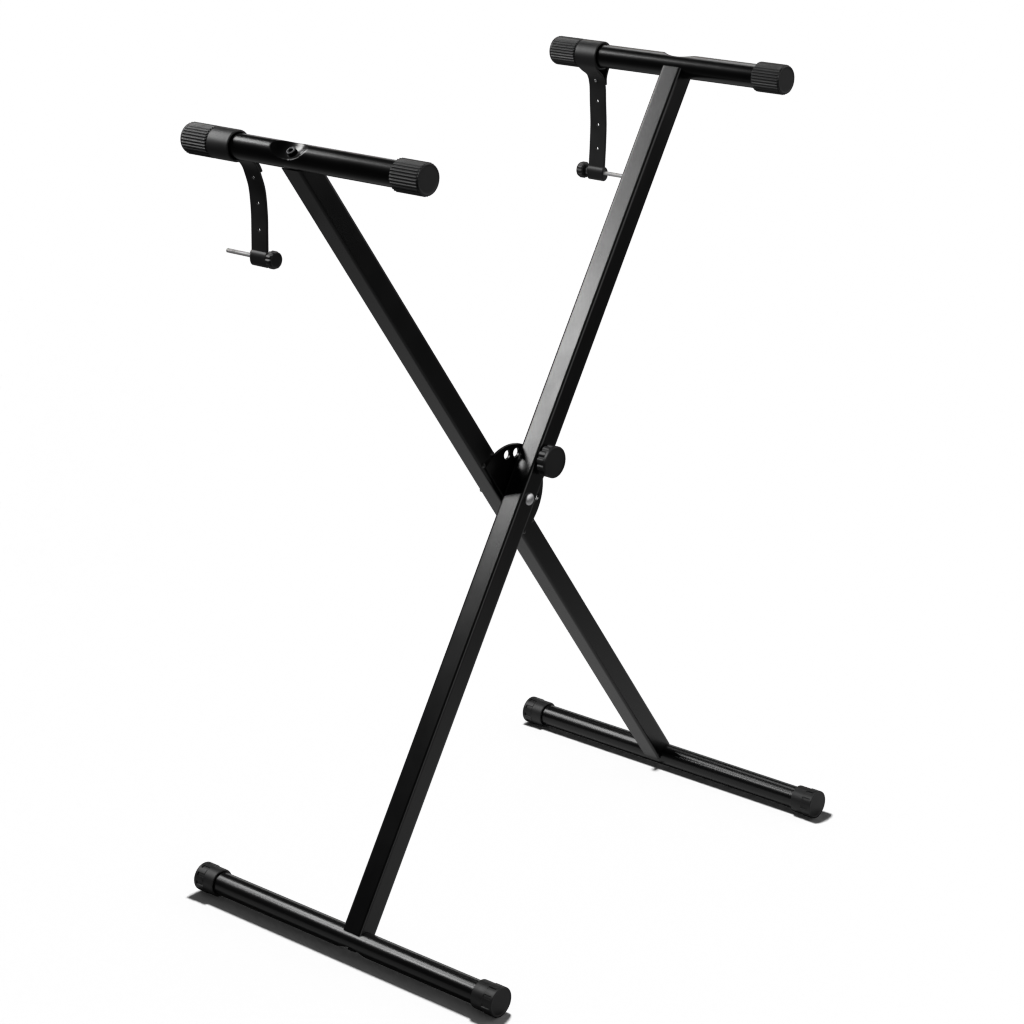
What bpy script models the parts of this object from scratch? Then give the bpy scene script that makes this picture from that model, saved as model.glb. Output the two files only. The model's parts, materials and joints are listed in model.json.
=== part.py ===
"""Single-X keyboard stand: two square tube legs crossing at a pivot, with round crossbars.

Frame: X across the stand, Y along the crossbars, Z up, floor at Z = 0.
The front leg rises to the right; the rear leg rises to the left and carries the latch plate.
"""
import math

import bmesh
import bpy
from mathutils import Matrix, Vector

GAP = 0.0003                    # clearance between touching pieces

# Stance and legs
HALF_ANGLE = math.radians(33.94)
BAR_SPAN = 0.996                # top bar axis to foot bar axis along a leg
PIVOT_DROP = 0.002              # pivot below the middle of the legs
LEG_SIDE = 0.025
LEG_WALL = 0.0015
LEG_CORNER = 0.003
LEG_WRAP = 0.006                # how far the coped leg end reaches round the bar

# Crossbars
BAR_RADIUS = 0.0125
BAR_WALL = 0.0015
TOP_BAR_LENGTH = 0.305
FOOT_BAR_LENGTH = 0.422
BAR_SIDES = 28
SEAT_SIDES = 24                 # sides of the cuts that a bar or tube end lies in
DISH_FLOOR = 0.003              # lowest point of the dish above the bar's axis
DISH_RISE = 0.004               # centre of the pressing tool above the bar's top line
DISH_REACH = 0.022
DISH_BREADTH = 0.026
DISH_SIDES = 16
DISH_STEPS = 10

# Ribbed grips on the top bars
GRIP_RADIUS = 0.0156
GRIP_RIB_DEPTH = 0.0010
GRIP_RIBS = 30
GRIP_LENGTH = 0.036
GRIP_CHAMFER = 0.0016
GRIP_RIM = 0.0022               # plain rim before the end face
CAP_FLOOR = 0.003

# Notched caps on the foot bars
FOOT_RADIUS = 0.0158
FOOT_SLEEVE_RADIUS = 0.0151
FOOT_NOTCH_DEPTH = 0.0009
FOOT_LENGTH = 0.035
FOOT_BAND = 0.013               # length of the thicker outer band
FOOT_RIM = 0.0030
FOOT_NOTCHES = 11
FOOT_CHAMFER = 0.0012

# Crossbar fixings
SCREW_RADIUS = 0.003
SCREW_HEAD_RADIUS = 0.0055
SCREW_HEAD_HEIGHT = 0.005
SCREW_SOCKET = 0.0029
SCREW_SOCKET_DEPTH = 0.003
SCREW_CHAMFER = 0.0006
SCREW_HOLE = 0.0033
PLUG_TOP = 0.008                # plug's upper end from the bar's axis
PLUG_LENGTH = 0.024
NUT_ACROSS = 0.010
NUT_HEIGHT = 0.005
THREAD_OUT = 0.002              # screw end standing past the nut

# Latch plate
PLATE_THICKNESS = 0.0025
PLATE_RIM = 0.0044              # plate left outside the ring of holes
PLATE_CHORD = 0.0085            # straight edge beyond the rear leg's centreline
LATCH_RADIUS = 0.045
LATCH_HOLE = 0.0051
LATCH_PITCH = math.radians(19.0)
LATCH_BELOW = 2                 # holes on the closing side of the one in use
LATCH_ABOVE = 4                 # holes on the opening side
HOLE_SIDES = 14

# Pivot
PIVOT_RADIUS = 0.004
PIVOT_HEAD_RADIUS = 0.0067
PIVOT_HEAD_HEIGHT = 0.0034
WASHER_THICKNESS = 0.0008
REAR_WASHER_THICKNESS = 0.0015
WASHER_RADIUS = 0.009
PIVOT_NUT_ACROSS = 0.013
PIVOT_NUT_HEIGHT = 0.0075

# Lock knob and pin
PIN_RADIUS = 0.0035
PIN_CLEAR = 0.0004              # between the drawn pin and the latch plate
PIN_NOSE = 0.0008
PIN_COLLAR_RADIUS = 0.0052
PIN_COLLAR = 0.0015
PIN_GRIP = 0.008                # pin length held in the knob
PIN_STROKE = 0.0033
FERRULE_RADIUS = 0.0085
FERRULE_BORE = 0.0058
FERRULE_REACH = 0.006
KNOB_RADIUS = 0.0170
KNOB_DEPTH = 0.0126
KNOB_LOBES = 14
KNOB_FLUTE = 0.0016
KNOB_RIM = 0.0036
KNOB_EDGE = 0.0008
SPRING_RADIUS = 0.0045
SPRING_WIRE = 0.0005
SPRING_TURNS = 4
SPRING_STEPS = 8

# Straps
STRAP_GAP = 0.0008              # between a strap's collar and the grip next to it
STRAP_COLLAR_WIDTH = 0.029
STRAP_WIDTH = 0.022
STRAP_TAPER = 0.030             # length over which the band narrows
STRAP_THICKNESS = 0.0024
STRAP_HOLE = 0.0014
STRAP_HOLE_PITCH = 0.0268
STRAP_HOLES = 3
STRAP_LUG_RADIUS = 0.0064
STRAP_RIVET = 0.0010
STRAP_RIVET_HEAD = 0.0018
STRAP_RIVET_DOME = 0.0008
STRAP_RIVET_GRIP = 0.0078       # between the rivet's domes
THUMB_ROD = 0.0020
THUMB_REACH = 0.035
THUMB_KNOB_RADIUS = 0.0088
THUMB_KNOB_DEPTH = 0.008
THUMB_KNOB_FLOOR = 0.003
THUMB_KNOB_LOBES = 10
THUMB_KNOB_FLUTE = 0.0010
THUMB_NUT_ACROSS = 0.007
THUMB_NUT_HEIGHT = 0.0032

# Worked out from the sizes above
UPPER_ARM = BAR_SPAN / 2 + PIVOT_DROP
LOWER_ARM = BAR_SPAN / 2 - PIVOT_DROP
LEG_GAP = GAP + PLATE_THICKNESS + 2 * GAP + WASHER_THICKNESS
LEG_Y = (LEG_GAP + LEG_SIDE) / 2
LEG_END = BAR_RADIUS - LEG_WRAP
FOOT_FLAT = FOOT_RADIUS * math.cos(math.pi / (4 * FOOT_NOTCHES))
PIVOT_Z = LOWER_ARM * math.cos(HALF_ANGLE) + FOOT_FLAT
NEAR_FACE = -(LEG_GAP / 2 + LEG_SIDE)
PLATE_FACE = LEG_GAP / 2 - GAP - PLATE_THICKNESS
DISH_DROP = BAR_RADIUS + DISH_RISE - DISH_FLOOR
SEAT_RISE = DISH_DROP * (1 - math.sqrt(1 - (SCREW_HEAD_RADIUS / DISH_REACH) ** 2))
SCREW_SEAT = DISH_FLOOR + SEAT_RISE + GAP   # the head rests on the dish's curved floor
GRIP_START = TOP_BAR_LENGTH / 2 + GAP + CAP_FLOOR - GRIP_LENGTH
FOOT_START = FOOT_BAR_LENGTH / 2 + GAP + CAP_FLOOR - FOOT_LENGTH
STRAP_Y = GRIP_START - STRAP_GAP - STRAP_COLLAR_WIDTH / 2
PLATE_RADIUS = LATCH_RADIUS + LATCH_HOLE + PLATE_RIM

WELD = 0.00001                  # points closer than this are one point
CREASE = math.radians(35)       # sharper edges than this stay sharp in the shading

MATERIALS = {
    "black_paint": ((0.012, 0.012, 0.013), 0.32, 0.0),
    "black_plastic": ((0.018, 0.018, 0.019), 0.5, 0.0),
    "black_rubber": ((0.016, 0.016, 0.017), 0.65, 0.0),
    "black_steel": ((0.09, 0.09, 0.095), 0.35, 1.0),
    "zinc": ((0.62, 0.62, 0.63), 0.3, 1.0),
}


def clear_scene():
    for obj in list(bpy.data.objects):
        bpy.data.objects.remove(obj, do_unlink=True)


def new_collection(name):
    collection = bpy.data.collections.new(name)
    bpy.context.scene.collection.children.link(collection)
    return collection


def material(name):
    found = bpy.data.materials.get(name)
    if found:
        return found
    colour, roughness, metallic = MATERIALS[name]
    made = bpy.data.materials.new(name)
    made.use_nodes = True
    shader = made.node_tree.nodes["Principled BSDF"]
    shader.inputs["Base Color"].default_value = (*colour, 1.0)
    shader.inputs["Roughness"].default_value = roughness
    shader.inputs["Metallic"].default_value = metallic
    return made


def mesh_object(name, bm, collection):
    """A new object from a bmesh, with outward faces."""
    bmesh.ops.recalc_face_normals(bm, faces=bm.faces)
    mesh = bpy.data.meshes.new(name)
    bm.to_mesh(mesh)
    bm.free()
    obj = bpy.data.objects.new(name, mesh)
    collection.objects.link(obj)
    return obj


def finish(obj, name, parent, finish_name, smooth=True):
    """Give a piece its name, parent and material."""
    obj.name = name
    obj.parent = parent
    obj.data.materials.append(material(finish_name))
    if smooth:
        obj.data.shade_smooth()
        obj.data.set_sharp_from_angle(angle=CREASE)
    return obj


def turn_to(bm, axis):
    """Turn a shape made along Z so that it lies along the given axis."""
    if axis == "Y":
        bmesh.ops.transform(bm, matrix=Matrix.Rotation(-math.pi / 2, 4, "X"), verts=bm.verts)
    if axis == "X":
        bmesh.ops.transform(bm, matrix=Matrix.Rotation(math.pi / 2, 4, "Y"), verts=bm.verts)


def cylinder(name, radius, start, end, collection, axis="Y", sides=BAR_SIDES, centre=(0, 0, 0)):
    """A cylinder from start to end along an axis through centre."""
    bm = bmesh.new()
    bmesh.ops.create_cone(bm, cap_ends=True, segments=sides, radius1=radius, radius2=radius,
                          depth=end - start)
    turn_to(bm, axis)
    along = {"X": Vector((1, 0, 0)), "Y": Vector((0, 1, 0)), "Z": Vector((0, 0, 1))}[axis]
    bmesh.ops.translate(bm, vec=Vector(centre) + along * (start + end) / 2, verts=bm.verts)
    return mesh_object(name, bm, collection)


def block(name, size, centre, collection):
    bm = bmesh.new()
    bmesh.ops.create_cube(bm, size=1.0)
    bmesh.ops.scale(bm, vec=size, verts=bm.verts)
    bmesh.ops.translate(bm, vec=centre, verts=bm.verts)
    return mesh_object(name, bm, collection)


def loft(name, rings, collection):
    """A closed skin through rings of equal point count, with a flat cap at each end."""
    bm = bmesh.new()
    rows = [[bm.verts.new(p) for p in ring] for ring in rings]
    count = len(rows[0])
    for low, high in zip(rows, rows[1:]):
        for i in range(count):
            j = (i + 1) % count
            bm.faces.new((low[i], low[j], high[j], high[i]))
    bm.faces.new(rows[0])
    bm.faces.new(rows[-1])
    return mesh_object(name, bm, collection)


def turned(name, profile, collection, steps=20, ring=False):
    """A turned piece about Z from (radius, height) points, run down its outer side."""
    mesh = bpy.data.meshes.new(name)
    points = [(r, 0.0, z) for r, z in profile]
    edges = [(i, i + 1) for i in range(len(points) - 1)]
    if ring:
        edges.append((len(points) - 1, 0))
    mesh.from_pydata(points, edges, [])
    obj = bpy.data.objects.new(name, mesh)
    collection.objects.link(obj)
    screw = obj.modifiers.new("Turn", "SCREW")
    screw.axis = "Z"
    screw.steps = steps
    screw.render_steps = steps
    screw.use_merge_vertices = True
    screw.merge_threshold = WELD
    return obj


def welded_mesh(curve):
    """A curve's evaluated surface with its caps welded on, as a bmesh."""
    holder = bpy.data.objects.new(curve.name, curve)
    stand.objects.link(holder)
    depsgraph = bpy.context.evaluated_depsgraph_get()
    mesh = bpy.data.meshes.new_from_object(holder.evaluated_get(depsgraph))
    bpy.data.objects.remove(holder, do_unlink=True)
    bm = bmesh.new()
    bm.from_mesh(mesh)
    bmesh.ops.remove_doubles(bm, verts=bm.verts, dist=WELD)
    return bm


def outline_solid(name, loops, thickness, collection):
    """A flat outline with its holes, filled and given a thickness along Z."""
    curve = bpy.data.curves.new(name, "CURVE")
    curve.dimensions = "2D"
    curve.fill_mode = "BOTH"
    curve.extrude = thickness / 2
    for loop in loops:
        spline = curve.splines.new("POLY")
        spline.points.add(len(loop) - 1)
        for point, (x, y) in zip(spline.points, loop):
            point.co = (x, y, 0.0, 1.0)
        spline.use_cyclic_u = True
    return mesh_object(name, welded_mesh(curve), collection)


def arc(radius, start, end, steps, centre=(0.0, 0.0)):
    """Points on a circle from one angle to another, both included."""
    points = []
    for i in range(steps + 1):
        angle = start + (end - start) * i / steps
        points.append((centre[0] + radius * math.cos(angle), centre[1] + radius * math.sin(angle)))
    return points


def circle(radius, sides, centre=(0.0, 0.0)):
    return arc(radius, 0.0, 2 * math.pi * (sides - 1) / sides, sides - 1, centre)


def rounded_square(side, corner, steps=3):
    points = []
    reach = side / 2 - corner
    for k, (sx, sy) in enumerate(((1, 1), (-1, 1), (-1, -1), (1, -1))):
        start = k * math.pi / 2
        points += arc(corner, start, start + math.pi / 2, steps, (sx * reach, sy * reach))
    return points


def boolean(obj, other, operation="DIFFERENCE"):
    """Cut or join with another object, which stays as a hidden guide."""
    modifier = obj.modifiers.new(operation.title(), "BOOLEAN")
    modifier.operation = operation
    modifier.object = other
    modifier.solver = "EXACT"
    other.hide_render = True
    other.display_type = "WIRE"
    return obj


def empty(name, location, angle, parent=None):
    """A frame empty; angle turns it about Y, so its own Z runs up the leg."""
    obj = bpy.data.objects.new(name, None)
    stand.objects.link(obj)
    obj.parent = parent
    obj.location = location
    obj.rotation_euler = (0.0, angle, 0.0)
    return obj


clear_scene()
stand = new_collection("keyboard_stand")
cutters = new_collection("cutters")
front = empty("front_frame", (0, 0, PIVOT_Z), HALF_ANGLE)
rear = empty("rear_frame", (0, 0, PIVOT_Z), -HALF_ANGLE)


# Legs: square tube, coped to the bars, with the holes for pivot and lock
def leg(name, frame, y):
    """Outer and inner rounded squares joined as one closed skin along Z."""
    low, high = LEG_END - LOWER_ARM, UPPER_ARM - LEG_END
    outer = rounded_square(LEG_SIDE, LEG_CORNER)
    inner = rounded_square(LEG_SIDE - 2 * LEG_WALL, LEG_CORNER - LEG_WALL)
    bm = bmesh.new()
    rows = []
    for loop, z in ((outer, low), (outer, high), (inner, high), (inner, low)):
        rows.append([bm.verts.new((px, py, z)) for px, py in loop])
    count = len(outer)
    for first, second in zip(rows, rows[1:] + rows[:1]):
        for i in range(count):
            j = (i + 1) % count
            bm.faces.new((first[i], first[j], second[j], second[i]))
    obj = mesh_object(name, bm, stand)
    obj.location = (0, y, 0)
    for end, z in (("top", UPPER_ARM), ("foot", -LOWER_ARM)):
        cope = cylinder(f"{name}_{end}_cope", BAR_RADIUS + GAP, -LEG_SIDE, LEG_SIDE, cutters,
                        sides=BAR_SIDES)
        cope.parent = frame
        cope.location = (0, y, z)
        boolean(obj, cope)
    finish(obj, name, frame, "black_paint")
    return obj


def hole_along_y(name, frame, radius, y0, y1, z):
    cutter = cylinder(name, radius, y0, y1, cutters, sides=20)
    cutter.parent = frame
    cutter.location = (0, 0, z)
    return cutter


def make_legs():
    front_leg = leg("leg_front", front, -LEG_Y)
    rear_leg = leg("leg_rear", rear, LEG_Y)
    reach = LEG_GAP / 2 + 2 * LEG_SIDE
    pivot = PIVOT_RADIUS + GAP
    boolean(front_leg, hole_along_y("front_pivot_hole", front, pivot, -reach, 0.0, 0.0))
    boolean(rear_leg, hole_along_y("rear_pivot_hole", rear, pivot, 0.0, reach, 0.0))
    middle = -LEG_Y
    boolean(front_leg, hole_along_y("pin_hole", front, PIN_RADIUS + GAP, middle, 0.0, LATCH_RADIUS))
    boolean(front_leg, hole_along_y("ferrule_hole", front, FERRULE_BORE + GAP, -reach, middle, LATCH_RADIUS))


# Crossbars: round tube with a pressed dish over the leg and a screw through it
def dish(name, frame, y, z, out, grow):
    """The ellipsoid pressed into the bar, larger by the wall for the inside."""
    bm = bmesh.new()
    bmesh.ops.create_uvsphere(bm, u_segments=DISH_SIDES, v_segments=DISH_STEPS, radius=1.0)
    size = (DISH_BREADTH + grow, DISH_REACH + grow, DISH_DROP + grow)
    bmesh.ops.scale(bm, vec=size, verts=bm.verts)
    cutter = mesh_object(name, bm, cutters)
    cutter.parent = frame
    cutter.location = (0, y, z + out * (BAR_RADIUS + DISH_RISE))
    return cutter


def crossbar(name, frame, leg_y, z, out, length):
    half = length / 2
    bar = cylinder(name, BAR_RADIUS, -half, half, stand)
    bar.location = (0, 0, z)
    bore = cylinder(name + "_bore", BAR_RADIUS - BAR_WALL, -length, length, cutters)
    bore.parent = frame
    bore.location = (0, 0, z)
    boolean(bore, dish(name + "_dish_inside", frame, leg_y, z, out, BAR_WALL))
    boolean(bar, dish(name + "_dish", frame, leg_y, z, out, 0.0))
    boolean(bar, bore)
    reach = 2 * BAR_RADIUS
    hole = cylinder(name + "_hole", SCREW_HOLE, -reach, reach, cutters, axis="Z", sides=HOLE_SIDES)
    hole.parent = frame
    hole.location = (0, leg_y, z)
    boolean(bar, hole)
    finish(bar, name, frame, "black_paint")


# Plugs inside the leg ends: the bar's screw runs through them into a nut
def leg_plug(name, frame, leg_y, z, out):
    inside = LEG_SIDE - 2 * LEG_WALL - 2 * GAP
    corner = LEG_CORNER - LEG_WALL - GAP
    loops = [rounded_square(inside, corner), circle(SCREW_HOLE, HOLE_SIDES)]
    plug = outline_solid(name, loops, PLUG_LENGTH, stand)
    plug.data.transform(Matrix.Translation((0, 0, -PLUG_TOP - PLUG_LENGTH / 2)))
    seat = cylinder(name + "_seat", BAR_RADIUS + GAP, -LEG_SIDE, LEG_SIDE, cutters, sides=SEAT_SIDES)
    for obj in (plug, seat):
        obj.parent = frame
        obj.location = (0, leg_y, z)
        obj.rotation_euler = (0 if out > 0 else math.pi, 0, 0)
    boolean(plug, seat)
    finish(plug, name, frame, "black_plastic", smooth=False)


def hex_nut(name, across, height, bore):
    """A hexagon nut standing on Z = 0 and rising along Z."""
    corner = across / math.sqrt(3)
    nut = outline_solid(name, [circle(corner, 6), circle(bore, HOLE_SIDES)], height, stand)
    nut.data.transform(Matrix.Translation((0, 0, height / 2)))
    return nut


def socket_screw(name, frame, leg_y, z, out, length):
    """Socket head screw; Z = 0 is under the head and the shank runs to -length."""
    profile = [(0, SCREW_HEAD_HEIGHT), (SCREW_HEAD_RADIUS - SCREW_CHAMFER, SCREW_HEAD_HEIGHT),
               (SCREW_HEAD_RADIUS, SCREW_HEAD_HEIGHT - SCREW_CHAMFER), (SCREW_HEAD_RADIUS, 0.0),
               (SCREW_RADIUS, 0.0), (SCREW_RADIUS, SCREW_CHAMFER - length),
               (SCREW_RADIUS - SCREW_CHAMFER, -length), (0, -length)]
    screw = turned(name, profile, stand, steps=14)
    socket = cylinder(name + "_socket", SCREW_SOCKET, SCREW_HEAD_HEIGHT - SCREW_SOCKET_DEPTH,
                      2 * SCREW_HEAD_HEIGHT, cutters, axis="Z", sides=6)
    for obj in (screw, socket):
        obj.parent = frame
        obj.location = (0, leg_y, z + out * SCREW_SEAT)
        obj.rotation_euler = (0 if out > 0 else math.pi, 0, 0)
    boolean(screw, socket)
    finish(screw, name, frame, "black_steel")


def bar_fixing(name, frame, leg_y, z, out):
    nut_top = PLUG_TOP + PLUG_LENGTH + GAP
    socket_screw("screw_" + name, frame, leg_y, z, out, SCREW_SEAT + nut_top + NUT_HEIGHT + THREAD_OUT)
    leg_plug("plug_" + name, frame, leg_y, z, out)
    nut = hex_nut("nut_" + name, NUT_ACROSS, NUT_HEIGHT, SCREW_HOLE)
    nut.location = (0, leg_y, z - out * nut_top)
    nut.rotation_euler = (math.pi if out > 0 else 0, 0, 0)
    finish(nut, "nut_" + name, frame, "zinc", smooth=False)


# Caps: skins lofted through rings, with ribs or notches by the place of each point
def cap_skin(name, rings, per_rib, ribs, lift):
    """Rings are (radius, cut depth, y); the last half of the points of each rib takes the cut."""
    points = per_rib * ribs
    step = 2 * math.pi / points
    made = []
    for radius, depth, y in rings:
        ring = []
        for i in range(points):
            angle = -math.pi / 2 + (i - lift) * step
            r = radius - (depth if i % per_rib >= per_rib / 2 else 0.0)
            ring.append((r * math.cos(angle), y, r * math.sin(angle)))
        made.append(ring)
    return loft(name, made, stand)


def seat_cap(obj, frame, turn, start, length, z, side):
    """Hollow the cap for the bar and place it; side is +1 at the far end."""
    bore = cylinder(obj.name + "_bore", BAR_RADIUS + GAP, -length, length - CAP_FLOOR, cutters,
                    sides=SEAT_SIDES)
    for piece in (obj, bore):
        piece.parent = frame
        piece.location = (0, side * start, z)
        upright = Matrix.Rotation(turn, 4, "Y")
        about = Matrix.Rotation(0 if side > 0 else math.pi, 4, "Z")
        piece.rotation_euler = (upright @ about).to_euler()
    boolean(obj, bore)
    finish(obj, obj.name, frame, "black_rubber")


def grip(name, frame, turn, z, side):
    """Sharp ribs run along the cap up to a plain rim."""
    root = GRIP_RADIUS - GRIP_RIB_DEPTH
    rim = GRIP_LENGTH - GRIP_RIM
    rings = [(root - GRIP_CHAMFER / 2, 0, 0.0), (GRIP_RADIUS, GRIP_RIB_DEPTH, GRIP_CHAMFER),
             (GRIP_RADIUS, GRIP_RIB_DEPTH, rim), (root, 0, rim + GRIP_RIM / 4),
             (root - GRIP_CHAMFER / 2, 0, GRIP_LENGTH)]
    obj = cap_skin(name, rings, 2, GRIP_RIBS, 0.0)
    seat_cap(obj, frame, turn, GRIP_START, GRIP_LENGTH, z, side)


def foot_cap(name, frame, turn, z, side):
    """Plain sleeve and a thicker band with open notches; a band face lies flat on the floor."""
    band = FOOT_LENGTH - FOOT_BAND
    rim = FOOT_LENGTH - FOOT_RIM
    rings = [(FOOT_SLEEVE_RADIUS, 0, 0.0), (FOOT_SLEEVE_RADIUS, 0, band),
             (FOOT_RADIUS, FOOT_NOTCH_DEPTH, band + FOOT_CHAMFER / 2),
             (FOOT_RADIUS, FOOT_NOTCH_DEPTH, rim), (FOOT_RADIUS, 0, rim + FOOT_CHAMFER / 2),
             (FOOT_RADIUS - FOOT_CHAMFER, 0, FOOT_LENGTH)]
    obj = cap_skin(name, rings, 4, FOOT_NOTCHES, 0.5)
    seat_cap(obj, frame, turn, FOOT_START, FOOT_LENGTH, z, side)


def make_frame_side(frame, leg_y, turn, top_name, foot_name):
    """One leg's two bars with their caps and fixings; turn sets the caps square to the floor."""
    top, foot = UPPER_ARM, -LOWER_ARM
    crossbar("top_bar_" + top_name, frame, leg_y, top, 1, TOP_BAR_LENGTH)
    crossbar("foot_bar_" + foot_name, frame, leg_y, foot, -1, FOOT_BAR_LENGTH)
    bar_fixing("top_" + top_name, frame, leg_y, top, 1)
    bar_fixing("foot_" + foot_name, frame, leg_y, foot, -1)
    for end, side in (("near", -1), ("far", 1)):
        grip(f"grip_{top_name}_{end}", frame, turn, top, side)
        foot_cap(f"foot_cap_{foot_name}_{end}", frame, turn, foot, side)


# Latch plate welded to the rear leg
def latch_plate():
    """A disc cut by a chord parallel to the rear leg, with a ring of locking holes."""
    edge = math.asin(PLATE_CHORD / PLATE_RADIUS)
    outline = arc(PLATE_RADIUS, math.pi / 2 + edge, -math.pi / 2 - edge, 36)
    loops = [outline, circle(PIVOT_RADIUS + GAP, HOLE_SIDES)]
    for k in range(-LATCH_BELOW, LATCH_ABOVE + 1):
        angle = math.pi / 2 - 2 * HALF_ANGLE - k * LATCH_PITCH
        centre = (LATCH_RADIUS * math.cos(angle), LATCH_RADIUS * math.sin(angle))
        loops.append(circle(LATCH_HOLE, HOLE_SIDES, centre))
    plate = outline_solid("latch_plate", loops, PLATE_THICKNESS, stand)
    plate.rotation_euler = (math.pi / 2, 0, 0)
    plate.location = (0, PLATE_FACE + PLATE_THICKNESS / 2, 0)
    finish(plate, "latch_plate", rear, "black_paint", smooth=False)


# Pivot: domed bolt, nylon washer between plate and leg, washer and nut behind
def along_y(obj, y, frame=front, z=0.0):
    """Turn a piece made along Z so that its Z points to -Y, with its base at y."""
    obj.parent = frame
    obj.rotation_euler = (math.pi / 2, 0, 0)
    obj.location = (0, y, z)


def washer_profile(outer, inner, thickness):
    return [(outer, thickness), (outer, 0), (inner, 0), (inner, thickness)]


def make_pivot():
    rear_face = -NEAR_FACE
    washer_back = rear_face + GAP + REAR_WASHER_THICKNESS
    nut_back = washer_back + GAP + PIVOT_NUT_HEIGHT
    length = nut_back + THREAD_OUT - NEAR_FACE
    dome = [(PIVOT_HEAD_RADIUS * math.sin(a), PIVOT_HEAD_HEIGHT * math.cos(a) + GAP)
            for a in (i * math.pi / 8 for i in range(5))]
    profile = [(0, dome[0][1])] + dome[1:] + [(PIVOT_RADIUS, GAP), (PIVOT_RADIUS, -length), (0, -length)]
    bolt = turned("pivot_bolt", profile, stand)
    along_y(bolt, NEAR_FACE)
    finish(bolt, "pivot_bolt", front, "zinc")
    bore = PIVOT_RADIUS + GAP
    middle = turned("pivot_washer", washer_profile(WASHER_RADIUS, bore, WASHER_THICKNESS), stand, ring=True)
    along_y(middle, PLATE_FACE - GAP)
    finish(middle, "pivot_washer", front, "black_plastic")
    back_profile = washer_profile(WASHER_RADIUS, bore, REAR_WASHER_THICKNESS)
    back = turned("pivot_rear_washer", back_profile, stand, ring=True)
    along_y(back, washer_back)
    finish(back, "pivot_rear_washer", front, "zinc")
    nut = hex_nut("pivot_nut", PIVOT_NUT_ACROSS, PIVOT_NUT_HEIGHT, bore)
    along_y(nut, nut_back)
    finish(nut, "pivot_nut", front, "zinc", smooth=False)


# Lock: knob, sprung pin and ferrule in the front leg
def make_lock():
    knob_frame = empty("lock", (0, 0, LATCH_RADIUS), 0.0, front)
    ferrule = [(FERRULE_RADIUS - PIN_NOSE, PIN_STROKE + GAP), (FERRULE_RADIUS, PIN_STROKE - PIN_NOSE / 2),
               (FERRULE_RADIUS, GAP), (FERRULE_BORE, GAP), (FERRULE_BORE, -FERRULE_REACH),
               (PIN_RADIUS + GAP, -FERRULE_REACH), (PIN_RADIUS + GAP, PIN_STROKE + GAP)]
    obj = turned("lock_ferrule", ferrule, stand, ring=True)
    along_y(obj, NEAR_FACE, front, LATCH_RADIUS)
    finish(obj, "lock_ferrule", front, "black_plastic")

    tip = PLATE_FACE - PIN_CLEAR
    knob_back = NEAR_FACE - PIN_STROKE - 2 * GAP
    tail = knob_back - PIN_STROKE - PIN_GRIP
    collar = -LEG_GAP / 2 - LEG_WALL - PIN_STROKE - GAP
    shoulder = tip - collar
    pin = [(0, tip - tail), (PIN_RADIUS, tip - tail), (PIN_RADIUS, shoulder + PIN_COLLAR),
           (PIN_COLLAR_RADIUS, shoulder + PIN_COLLAR), (PIN_COLLAR_RADIUS, shoulder),
           (PIN_RADIUS, shoulder), (PIN_RADIUS, PIN_NOSE), (PIN_RADIUS - PIN_NOSE, 0), (0, 0)]
    obj = turned("lock_pin", pin, stand, steps=16)
    along_y(obj, tip, knob_frame)
    finish(obj, "lock_pin", knob_frame, "zinc")
    make_knob(knob_frame, knob_back, tail)
    make_spring(collar - PIN_COLLAR - 2 * GAP, NEAR_FACE + FERRULE_REACH + GAP)


def fluted_knob(name, outline, lobes, flute, direction):
    """Rings are (radius, share of the flute's depth, y); direction is +1 when the face looks to +Y."""
    points = 3 * lobes
    made = []
    for radius, share, y in outline:
        ring = []
        for i in range(points):
            angle = 2 * math.pi * (i + 0.5) / points
            r = radius - (share * flute if i % 3 == 2 else 0.0)
            ring.append((r * math.cos(angle), direction * y, r * math.sin(angle)))
        made.append(ring)
    return loft(name, made, stand)


def make_knob(knob_frame, back, tail):
    """Fluted side behind a plain rim, hollowed behind for the ferrule."""
    rim = KNOB_DEPTH - KNOB_RIM
    rings = [(KNOB_RADIUS - KNOB_EDGE, 1, 0), (KNOB_RADIUS, 1, KNOB_EDGE), (KNOB_RADIUS, 1, rim),
             (KNOB_RADIUS, 0, rim + KNOB_EDGE), (KNOB_RADIUS, 0, KNOB_DEPTH - KNOB_EDGE),
             (KNOB_RADIUS - KNOB_EDGE, 0, KNOB_DEPTH)]
    obj = fluted_knob("lock_knob", rings, KNOB_LOBES, KNOB_FLUTE, -1)
    obj.data.transform(Matrix.Translation((0, back, 0)))
    outside = back + KNOB_DEPTH
    bore = cylinder("lock_knob_bore", PIN_RADIUS + GAP, tail - GAP, outside, cutters, sides=HOLE_SIDES)
    recess = cylinder("lock_knob_recess", FERRULE_RADIUS + 2 * GAP, back - PIN_STROKE - GAP, outside,
                      cutters, sides=SEAT_SIDES)
    for cutter in (bore, recess):
        cutter.parent = knob_frame
        boolean(obj, cutter)
    finish(obj, "lock_knob", knob_frame, "black_plastic")


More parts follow.
